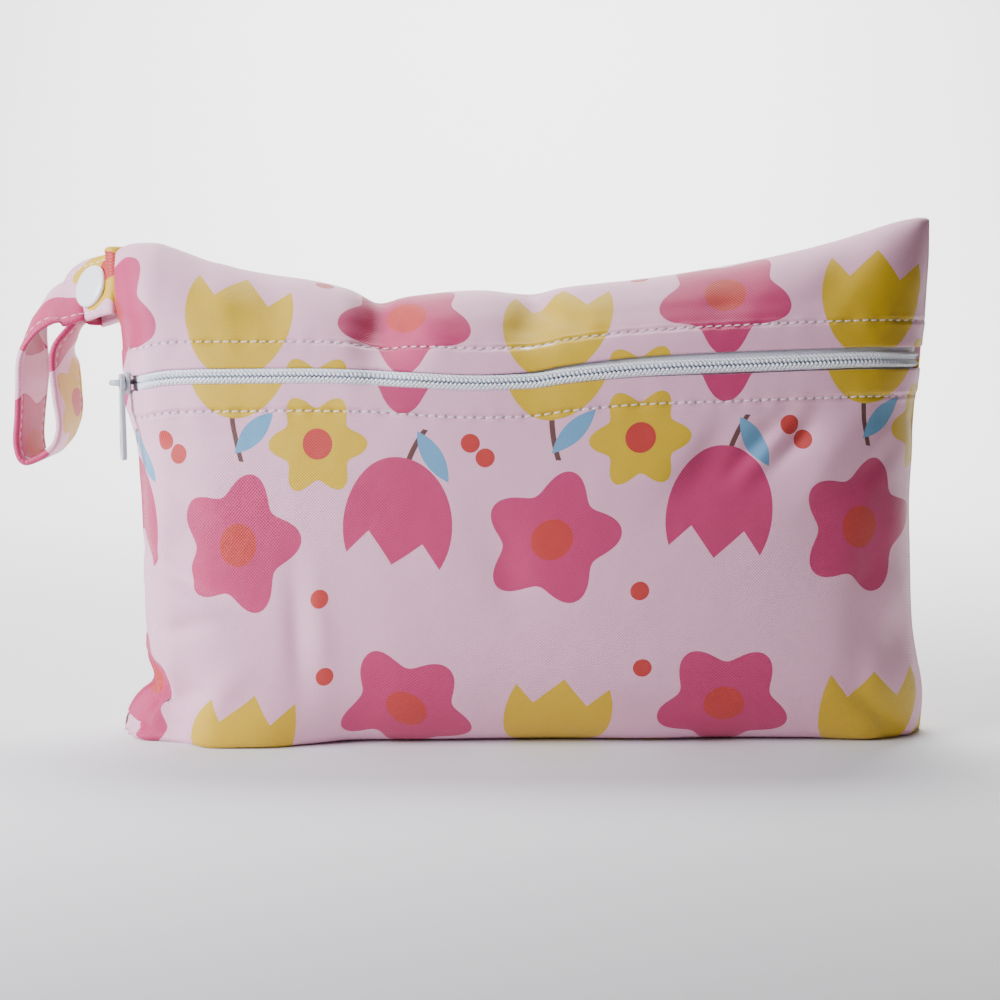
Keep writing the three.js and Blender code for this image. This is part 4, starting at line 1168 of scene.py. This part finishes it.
def add(tree, kind, inputs=(), **settings):
    """Adds a node with its settings, sets or links its inputs, and gives its first output in use."""
    node = tree.nodes.new(kind)
    for name, value in settings.items():
        setattr(node, name, value)
    sockets = [s for s in node.inputs if s.enabled]
    for name, value in dict(inputs).items():
        socket = sockets[name] if isinstance(name, int) else next(s for s in sockets if s.name == name)
        if isinstance(value, bpy.types.NodeSocket):
            tree.links.new(value, socket)
        else:
            socket.default_value = value
    outputs = [s for s in node.outputs if s.enabled]
    return outputs[0] if outputs else node


def new_material(name):
    material = bpy.data.materials.new(name)
    material.use_nodes = True
    material.node_tree.nodes.clear()
    return material, material.node_tree


def finish_material(tree, shader):
    add(tree, "ShaderNodeOutputMaterial", {0: shader})


def grain(tree, scale, detail):
    """A fine noise that stays with the object."""
    place = add(tree, "ShaderNodeTexCoord").node.outputs["Object"]
    return add(tree, "ShaderNodeTexNoise", {"Vector": place, "Scale": scale, "Detail": detail})


def tinted(tree, code, pattern, low, high, dark, light):
    """A colour made darker where a pattern is low and lighter where it is high."""
    tint = add(tree, "ShaderNodeMapRange", {0: pattern, 1: low, 2: high, 3: dark, 4: light})
    return add(tree, "ShaderNodeVectorMath", {0: linear(code)[:3], "Scale": tint}, operation="SCALE")


def in_cell(tree, flat, centre, cell, turn):
    """Places on the flat cloth measured from the nearest of a motif's repeats, turned by its own angle."""
    moved = add(tree, "ShaderNodeVectorMath", {0: flat, 1: (*centre, 0)}, operation="SUBTRACT")
    half = (cell[0] / 2, cell[1] / 2, 1)
    low = tuple(-h for h in half)
    wrapped = add(tree, "ShaderNodeVectorMath", {0: moved, 1: half, 2: low}, operation="WRAP")
    return add(tree, "ShaderNodeVectorRotate", {"Vector": wrapped, "Angle": math.radians(turn)},
               rotation_type="Z_AXIS")


def flower(tree, local, radius, petals):
    """Masks of a flower's petals and of its heart."""
    place = add(tree, "ShaderNodeSeparateXYZ", {0: local}).node.outputs
    angle = add(tree, "ShaderNodeMath", {0: place[1], 1: place[0]}, operation="ARCTAN2")
    turns = add(tree, "ShaderNodeMath", {0: angle, 1: petals}, operation="MULTIPLY")
    wave = add(tree, "ShaderNodeMath", {0: turns}, operation="COSINE")
    petal, middle = radius * 0.15, radius * 0.85
    edge = add(tree, "ShaderNodeMath", {0: wave, 1: petal, 2: middle}, operation="MULTIPLY_ADD")
    out = add(tree, "ShaderNodeVectorMath", {0: local}, operation="LENGTH").node.outputs["Value"]
    whole = add(tree, "ShaderNodeMath", {0: out, 1: edge}, operation="LESS_THAN")
    heart = add(tree, "ShaderNodeMath", {0: out, 1: radius * 0.3}, operation="LESS_THAN")
    return whole, heart


def tulip(tree, local, half_width, half_height):
    """Mask of a tulip's cup: an oval with a notched top."""
    shape = add(tree, "ShaderNodeVectorMath", {0: local, 1: (half_width, half_height, 1)}, operation="DIVIDE")
    out = add(tree, "ShaderNodeVectorMath", {0: shape}, operation="LENGTH").node.outputs["Value"]
    oval = add(tree, "ShaderNodeMath", {0: out, 1: 1.0}, operation="LESS_THAN")
    place = add(tree, "ShaderNodeSeparateXYZ", {0: local}).node.outputs
    points = add(tree, "ShaderNodeMath", {0: place[0], 1: half_width * 0.5}, operation="PINGPONG")
    limit = add(tree, "ShaderNodeMath", {0: points, 1: -1.1, 2: half_height * 0.62}, operation="MULTIPLY_ADD")
    below = add(tree, "ShaderNodeMath", {0: place[1], 1: limit}, operation="LESS_THAN")
    return add(tree, "ShaderNodeMath", {0: oval, 1: below}, operation="MULTIPLY")


def leaf(tree, local, centre, turn, half_length, half_width):
    """Mask of a pointed leaf."""
    moved = add(tree, "ShaderNodeVectorMath", {0: local, 1: (*centre, 0)}, operation="SUBTRACT")
    turned = add(tree, "ShaderNodeVectorRotate", {"Vector": moved, "Angle": math.radians(turn)},
                 rotation_type="Z_AXIS")
    place = add(tree, "ShaderNodeSeparateXYZ", {0: turned}).node.outputs
    share = add(tree, "ShaderNodeMath", {0: place[0], 1: half_length}, operation="DIVIDE")
    square = add(tree, "ShaderNodeMath", {0: share, 1: share}, operation="MULTIPLY")
    edge = add(tree, "ShaderNodeMath", {0: square, 1: -half_width, 2: half_width}, operation="MULTIPLY_ADD")
    away = add(tree, "ShaderNodeMath", {0: place[1]}, operation="ABSOLUTE")
    return add(tree, "ShaderNodeMath", {0: away, 1: edge}, operation="LESS_THAN")


def stem(tree, local, top, foot, curl, half_width):
    """Mask of a stem that runs down from a flower and curls to one side."""
    place = add(tree, "ShaderNodeSeparateXYZ", {0: local}).node.outputs
    share = add(tree, "ShaderNodeMapRange", {0: place[1], 1: top, 2: foot, 3: 0.0, 4: 1.0})
    square = add(tree, "ShaderNodeMath", {0: share, 1: share}, operation="MULTIPLY")
    across = add(tree, "ShaderNodeMath", {0: square, 1: -curl, 2: place[0]}, operation="MULTIPLY_ADD")
    away = add(tree, "ShaderNodeMath", {0: across}, operation="ABSOLUTE")
    thin = add(tree, "ShaderNodeMath", {0: away, 1: half_width}, operation="LESS_THAN")
    middle = add(tree, "ShaderNodeMath", {0: place[1], 1: (top + foot) / 2}, operation="SUBTRACT")
    span = add(tree, "ShaderNodeMath", {0: middle}, operation="ABSOLUTE")
    within = add(tree, "ShaderNodeMath", {0: span, 1: abs(top - foot) / 2}, operation="LESS_THAN")
    return add(tree, "ShaderNodeMath", {0: thin, 1: within}, operation="MULTIPLY")


def over(tree, ground, mask, ink):
    """Ink printed over a ground where a mask says."""
    return add(tree, "ShaderNodeMix", {0: mask, 1: ground, 2: ink}, data_type="RGBA")


def stitch_marks(tree, metres, lines):
    """How much rows of stitches press the cloth in, and how much is a needle's hole."""
    place = add(tree, "ShaderNodeSeparateXYZ", {0: metres}).node.outputs
    margin = HALF_WIDTH - STITCH_MARGIN
    along = add(tree, "ShaderNodeMath", {0: place[0], 1: 1 / MM, 2: margin}, operation="MULTIPLY_ADD")
    to_hole = add(tree, "ShaderNodeMath", {0: along, 1: STITCH_PITCH / 2}, operation="PINGPONG")
    pressed, holes = 0.0, 0.0
    for line in lines:
        off = add(tree, "ShaderNodeMath", {0: place[1], 1: 1 / MM, 2: -line}, operation="MULTIPLY_ADD")
        away = add(tree, "ShaderNodeMath", {0: off}, operation="ABSOLUTE")
        both = add(tree, "ShaderNodeCombineXYZ", {0: to_hole, 1: away})
        near = add(tree, "ShaderNodeVectorMath", {0: both}, operation="LENGTH").node.outputs["Value"]
        groove = add(tree, "ShaderNodeMapRange", {0: away, 1: 0.2, 2: 1.2, 3: 1.0, 4: 0.0})
        hole = add(tree, "ShaderNodeMapRange", {0: near, 1: 0.15, 2: 0.6, 3: 1.0, 4: 0.0})
        pressed = add(tree, "ShaderNodeMath", {0: pressed, 1: groove}, operation="MAXIMUM")
        holes = add(tree, "ShaderNodeMath", {0: holes, 1: hole}, operation="MAXIMUM")
    return pressed, holes


def printed_cloth(name, shift, stitch_lines=()):
    """Polyester knit with a printed face on a thin film, so it is soft and satiny, with hardly any weave.
    The knit's rows are about 0.5 mm apart, and are drawn 0.9 mm apart so that they show.
    """
    material, tree = new_material(name)
    metres = add(tree, "ShaderNodeUVMap", uv_map="flat")
    flat = add(tree, "ShaderNodeVectorMath", {0: metres, 1: (1 / MM, -1 / MM, 0)}, operation="MULTIPLY")
    flat = add(tree, "ShaderNodeVectorMath", {0: flat, 1: (*shift, 0)}, operation="ADD")
    colour = linear(GROUND)
    for centre, turn, ink, foot, curl, leaf_place, leaf_turn in TULIPS:
        local = in_cell(tree, flat, centre, PRINT_CELL, turn)
        stalk = stem(tree, local, STEM_TOP, foot, curl, STEM_HALF_WIDTH)
        colour = over(tree, colour, stalk, linear(BROWN))
        colour = over(tree, colour, leaf(tree, local, leaf_place, leaf_turn, *LEAF_HALVES), linear(BLUE))
        colour = over(tree, colour, tulip(tree, local, *TULIP_HALVES), linear(ink))
    for centre, turn, ink, radius, petals in FLOWERS:
        local = in_cell(tree, flat, centre, PRINT_CELL, turn)
        whole, heart = flower(tree, local, radius, petals)
        colour = over(tree, over(tree, colour, whole, linear(ink)), heart, linear(CORAL))
    for centre in DOTS:
        local = in_cell(tree, flat, centre, PRINT_CELL, 0)
        out = add(tree, "ShaderNodeVectorMath", {0: local}, operation="LENGTH").node.outputs["Value"]
        dot = add(tree, "ShaderNodeMath", {0: out, 1: DOT_RADIUS}, operation="LESS_THAN")
        colour = over(tree, colour, dot, linear(CORAL))

    step = math.tau / KNIT_PITCH
    knit = add(tree, "ShaderNodeVectorMath", {0: flat, 1: (step, step, 0)}, operation="MULTIPLY")
    waves = add(tree, "ShaderNodeVectorMath", {0: knit}, operation="SINE")
    pair = add(tree, "ShaderNodeSeparateXYZ", {0: waves}).node.outputs
    loops = add(tree, "ShaderNodeMath", {0: pair[0], 1: pair[1]}, operation="MULTIPLY")
    fuzz = add(tree, "ShaderNodeTexNoise", {"Vector": flat, "Scale": 1.6, "Detail": 3.0, "Roughness": 0.6})
    height = add(tree, "ShaderNodeMath", {0: fuzz, 1: 0.9, 2: loops}, operation="MULTIPLY_ADD")
    # The knit's tone follows its height: painted shade in the hollows between the loops and lighter on the
    # loops, over the fuzz's random tone.
    shade = add(tree, "ShaderNodeMapRange", {0: height, 1: -0.9, 2: 1.6, 3: 0.88, 4: 1.08})
    patch = add(tree, "ShaderNodeTexNoise", {"Vector": flat, "Scale": 0.02, "Detail": 2.0})
    uneven = add(tree, "ShaderNodeMapRange", {0: patch, 1: 0.3, 2: 0.7, 3: 0.97, 4: 1.03})
    tone = add(tree, "ShaderNodeMath", {0: shade, 1: uneven}, operation="MULTIPLY")
    ripple = add(tree, "ShaderNodeTexNoise", {"Vector": flat, "Scale": 0.09, "Detail": 3.0, "Roughness": 0.5})
    normal = add(tree, "ShaderNodeBump", {"Strength": 0.4, "Distance": 0.0012, "Height": ripple})
    if stitch_lines:
        pressed, holes = stitch_marks(tree, metres, stitch_lines)
        # The needle holes are painted darker: painted shade in the holes, on top of their bump.
        dark = add(tree, "ShaderNodeMath", {0: holes, 1: -0.38, 2: 1.0}, operation="MULTIPLY_ADD")
        tone = add(tree, "ShaderNodeMath", {0: tone, 1: dark}, operation="MULTIPLY")
        depth = add(tree, "ShaderNodeMath", {0: holes, 1: 0.8, 2: pressed}, operation="MULTIPLY_ADD")
        level = add(tree, "ShaderNodeMath", {0: depth, 1: -1.0}, operation="MULTIPLY")
        normal = add(tree, "ShaderNodeBump", {
            "Strength": 0.6, "Distance": 0.0004, "Height": level, "Normal": normal})
    colour = add(tree, "ShaderNodeVectorMath", {0: colour, "Scale": tone}, operation="SCALE")
    normal = add(tree, "ShaderNodeBump", {
        "Strength": 0.45, "Distance": 0.00014, "Height": height, "Normal": normal})
    rough = add(tree, "ShaderNodeMapRange", {0: height, 1: -1.0, 2: 1.6, 3: 0.56, 4: 0.42})
    shader = add(tree, "ShaderNodeBsdfPrincipled", {
        "Base Color": colour, "Roughness": rough, "Normal": normal, "IOR": 1.5,
        "Sheen Weight": 0.2, "Sheen Roughness": 0.4, "Specular IOR Level": 0.4})
    finish_material(tree, shader)
    return material


def film_back():
    """The polyurethane film on the cloth's inner face: milky, smooth and a little glossy."""
    material, tree = new_material("polyurethane film")
    clouds = grain(tree, 900, 2)
    colour = tinted(tree, "F1E6EA", clouds, 0.3, 0.7, 0.96, 1.02)
    bumped = add(tree, "ShaderNodeBump", {"Strength": 0.15, "Distance": 0.0002, "Height": clouds})
    finish_material(tree, add(tree, "ShaderNodeBsdfPrincipled", {
        "Base Color": colour, "Roughness": 0.4, "Normal": bumped}))
    return material


def thread_material(name, code, pitch):
    """Spun polyester sewing thread: two plies twisted together, with a slight gloss along the twist."""
    material, tree = new_material(name)
    place = add(tree, "ShaderNodeTexCoord").node.outputs["Object"]
    scale = 2 * math.pi / (pitch * MM)
    slanted = add(tree, "ShaderNodeVectorMath", {0: place, 1: (scale, scale, scale * 0.8)},
                  operation="DOT_PRODUCT").node.outputs["Value"]
    twist = add(tree, "ShaderNodeMath", {0: slanted}, operation="SINE")
    # The twist's tone follows its bump: painted shade in the grooves between the plies, lighter on the plies.
    colour = tinted(tree, code, twist, -1, 1, 0.9, 1.03)
    bumped = add(tree, "ShaderNodeBump", {"Strength": 0.4, "Distance": 0.0001, "Height": twist})
    finish_material(tree, add(tree, "ShaderNodeBsdfPrincipled", {
        "Base Color": colour, "Roughness": 0.55, "Normal": bumped, "Sheen Weight": 0.2}))
    return material


def tape_material():
    """Woven polyester zip tape: fine cords along its length, 0.6 mm apart, crossed by 0.5 mm picks."""
    material, tree = new_material("woven polyester tape")
    metres = add(tree, "ShaderNodeUVMap", uv_map="flat")
    scale = 2 * math.pi / (0.6 * MM)
    threads = add(tree, "ShaderNodeVectorMath", {0: metres, 1: (scale * 1.2, scale, 0)}, operation="MULTIPLY")
    waves = add(tree, "ShaderNodeVectorMath", {0: threads}, operation="SINE")
    pair = add(tree, "ShaderNodeSeparateXYZ", {0: waves}).node.outputs
    weave = add(tree, "ShaderNodeMath", {0: pair[0], 1: pair[1]}, operation="MULTIPLY")
    # The weave's tone follows its bump: painted shade where the threads dip, lighter where they rise.
    colour = tinted(tree, "EEF1F8", weave, -1, 1, 0.9, 1.03)
    bumped = add(tree, "ShaderNodeBump", {"Strength": 0.5, "Distance": 0.00012, "Height": weave})
    finish_material(tree, add(tree, "ShaderNodeBsdfPrincipled", {
        "Base Color": colour, "Roughness": 0.7, "Normal": bumped, "Sheen Weight": 0.15}))
    return material


def nylon_material():
    """Drawn nylon monofilament, heat-set into loops: milky, smooth, and lit a little from within."""
    material, tree = new_material("nylon coil")
    colour = tinted(tree, "F1F4FC", grain(tree, 1400, 2), 0.3, 0.7, 0.95, 1.02)
    finish_material(tree, add(tree, "ShaderNodeBsdfPrincipled", {
        "Base Color": colour, "Roughness": 0.38, "IOR": 1.53,
        "Subsurface Weight": 0.15, "Subsurface Scale": 0.0006}))
    return material


def enamel_material():
    """Spray enamel on a zinc casting: pale grey and glossy, with a slight orange-peel and an uneven tone."""
    material, tree = new_material("enamelled zinc")
    peel = grain(tree, 1500, 1)
    bumped = add(tree, "ShaderNodeBump", {"Strength": 0.08, "Distance": 0.0002, "Height": peel})
    colour = tinted(tree, "B8BFC4", grain(tree, 260, 3), 0.35, 0.7, 0.95, 1.01)
    finish_material(tree, add(tree, "ShaderNodeBsdfPrincipled", {
        "Base Color": colour, "Roughness": 0.22, "Normal": bumped,
        "Coat Weight": 0.3, "Coat Roughness": 0.1}))
    return material


def snap_material():
    """Moulded acetal: white, hard and glossy, with soft light inside it and a faint mould texture."""
    material, tree = new_material("moulded acetal")
    mould = grain(tree, 700, 2)
    bumped = add(tree, "ShaderNodeBump", {"Strength": 0.05, "Distance": 0.0002, "Height": mould})
    colour = tinted(tree, "FBFCFC", mould, 0.35, 0.7, 0.98, 1.01)
    finish_material(tree, add(tree, "ShaderNodeBsdfPrincipled", {
        "Base Color": colour, "Roughness": 0.2, "IOR": 1.48, "Normal": bumped,
        "Subsurface Weight": 0.1, "Subsurface Scale": 0.001}))
    return material


# --- Stage ------------------------------------------------------------------------------------------------

def make_camera():
    rise = math.radians(CAMERA_RISE)
    back = Vector((0, -math.cos(rise), math.sin(rise)))
    data = bpy.data.cameras.new("camera")
    data.sensor_width = 36
    data.lens = CAMERA_LENS
    data.clip_start = 0.01
    camera = linked("camera", data)
    camera.location = (Vector(CAMERA_AIM) + back * CAMERA_DISTANCE) * MM
    camera.rotation_euler = (-back).to_track_quat("-Z", "Y").to_euler()
    bpy.context.scene.camera = camera


def make_light(name, place, aim, size, power, colour, spread):
    data = bpy.data.lights.new(name, "AREA")
    data.shape = "DISK"
    data.size = size
    data.energy = power
    data.color = linear(colour)[:3]
    data.spread = math.radians(spread)
    light = linked(name, data)
    light.location = place
    light.rotation_euler = (Vector(aim) - Vector(place)).to_track_quat("-Z", "Y").to_euler()
    light.visible_camera = False


def make_stage():
    material, tree = new_material("matt white paper")
    shader = add(tree, "ShaderNodeBsdfPrincipled", {"Base Color": linear(PAPER), "Roughness": 0.9})
    finish_material(tree, shader)
    bm = bmesh.new()
    bmesh.ops.create_grid(bm, x_segments=1, y_segments=40, size=SWEEP_HALF_SIZE)
    for vert in bm.verts:
        over_bend = vert.co.y - SWEEP_BEND
        if over_bend > 0:
            angle = min(over_bend / SWEEP_RADIUS, math.pi / 2)
            beyond = max(0, over_bend - SWEEP_RADIUS * math.pi / 2)
            vert.co.y = SWEEP_BEND + SWEEP_RADIUS * math.sin(angle)
            vert.co.z = SWEEP_RADIUS * (1 - math.cos(angle)) + beyond
        vert.co.x *= 2
    mesh = mesh_of("paper sweep", bm)
    for polygon in mesh.polygons:
        polygon.use_smooth = True
    mesh.materials.append(material)
    floor = linked("paper_sweep", mesh)
    world = bpy.data.worlds.new("soft room")
    bpy.context.scene.world = world
    world.use_nodes = True
    background = world.node_tree.nodes["Background"]
    background.inputs["Color"].default_value = linear(ROOM_COLOUR)
    background.inputs["Strength"].default_value = ROOM_STRENGTH
    for light in LIGHTS:
        make_light(*light)


def main():
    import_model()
    make_camera()
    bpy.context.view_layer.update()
    thread = thread_material("polyester sewing thread", "FBEDF0", 0.8)
    coil_thread = thread_material("polyester coil thread", "FDFEFF", 0.6)
    enamel = enamel_material()

    def cloth_materials(girth):
        lines = (HEM_DEPTH, girth - HEM_DEPTH)
        return [printed_cloth("printed polyester laminate", (10, 20), lines), film_back()]

    cloth = make_sleeve(cloth_materials)
    hem_stitches(cloth, thread)
    make_zip(tape_material(), nylon_material(), coil_thread)
    make_strap(printed_cloth("printed polyester strap", (33, 9)), thread)
    make_snap(snap_material())
    make_slider(enamel)
    make_puller(enamel)
    make_stage()


main()
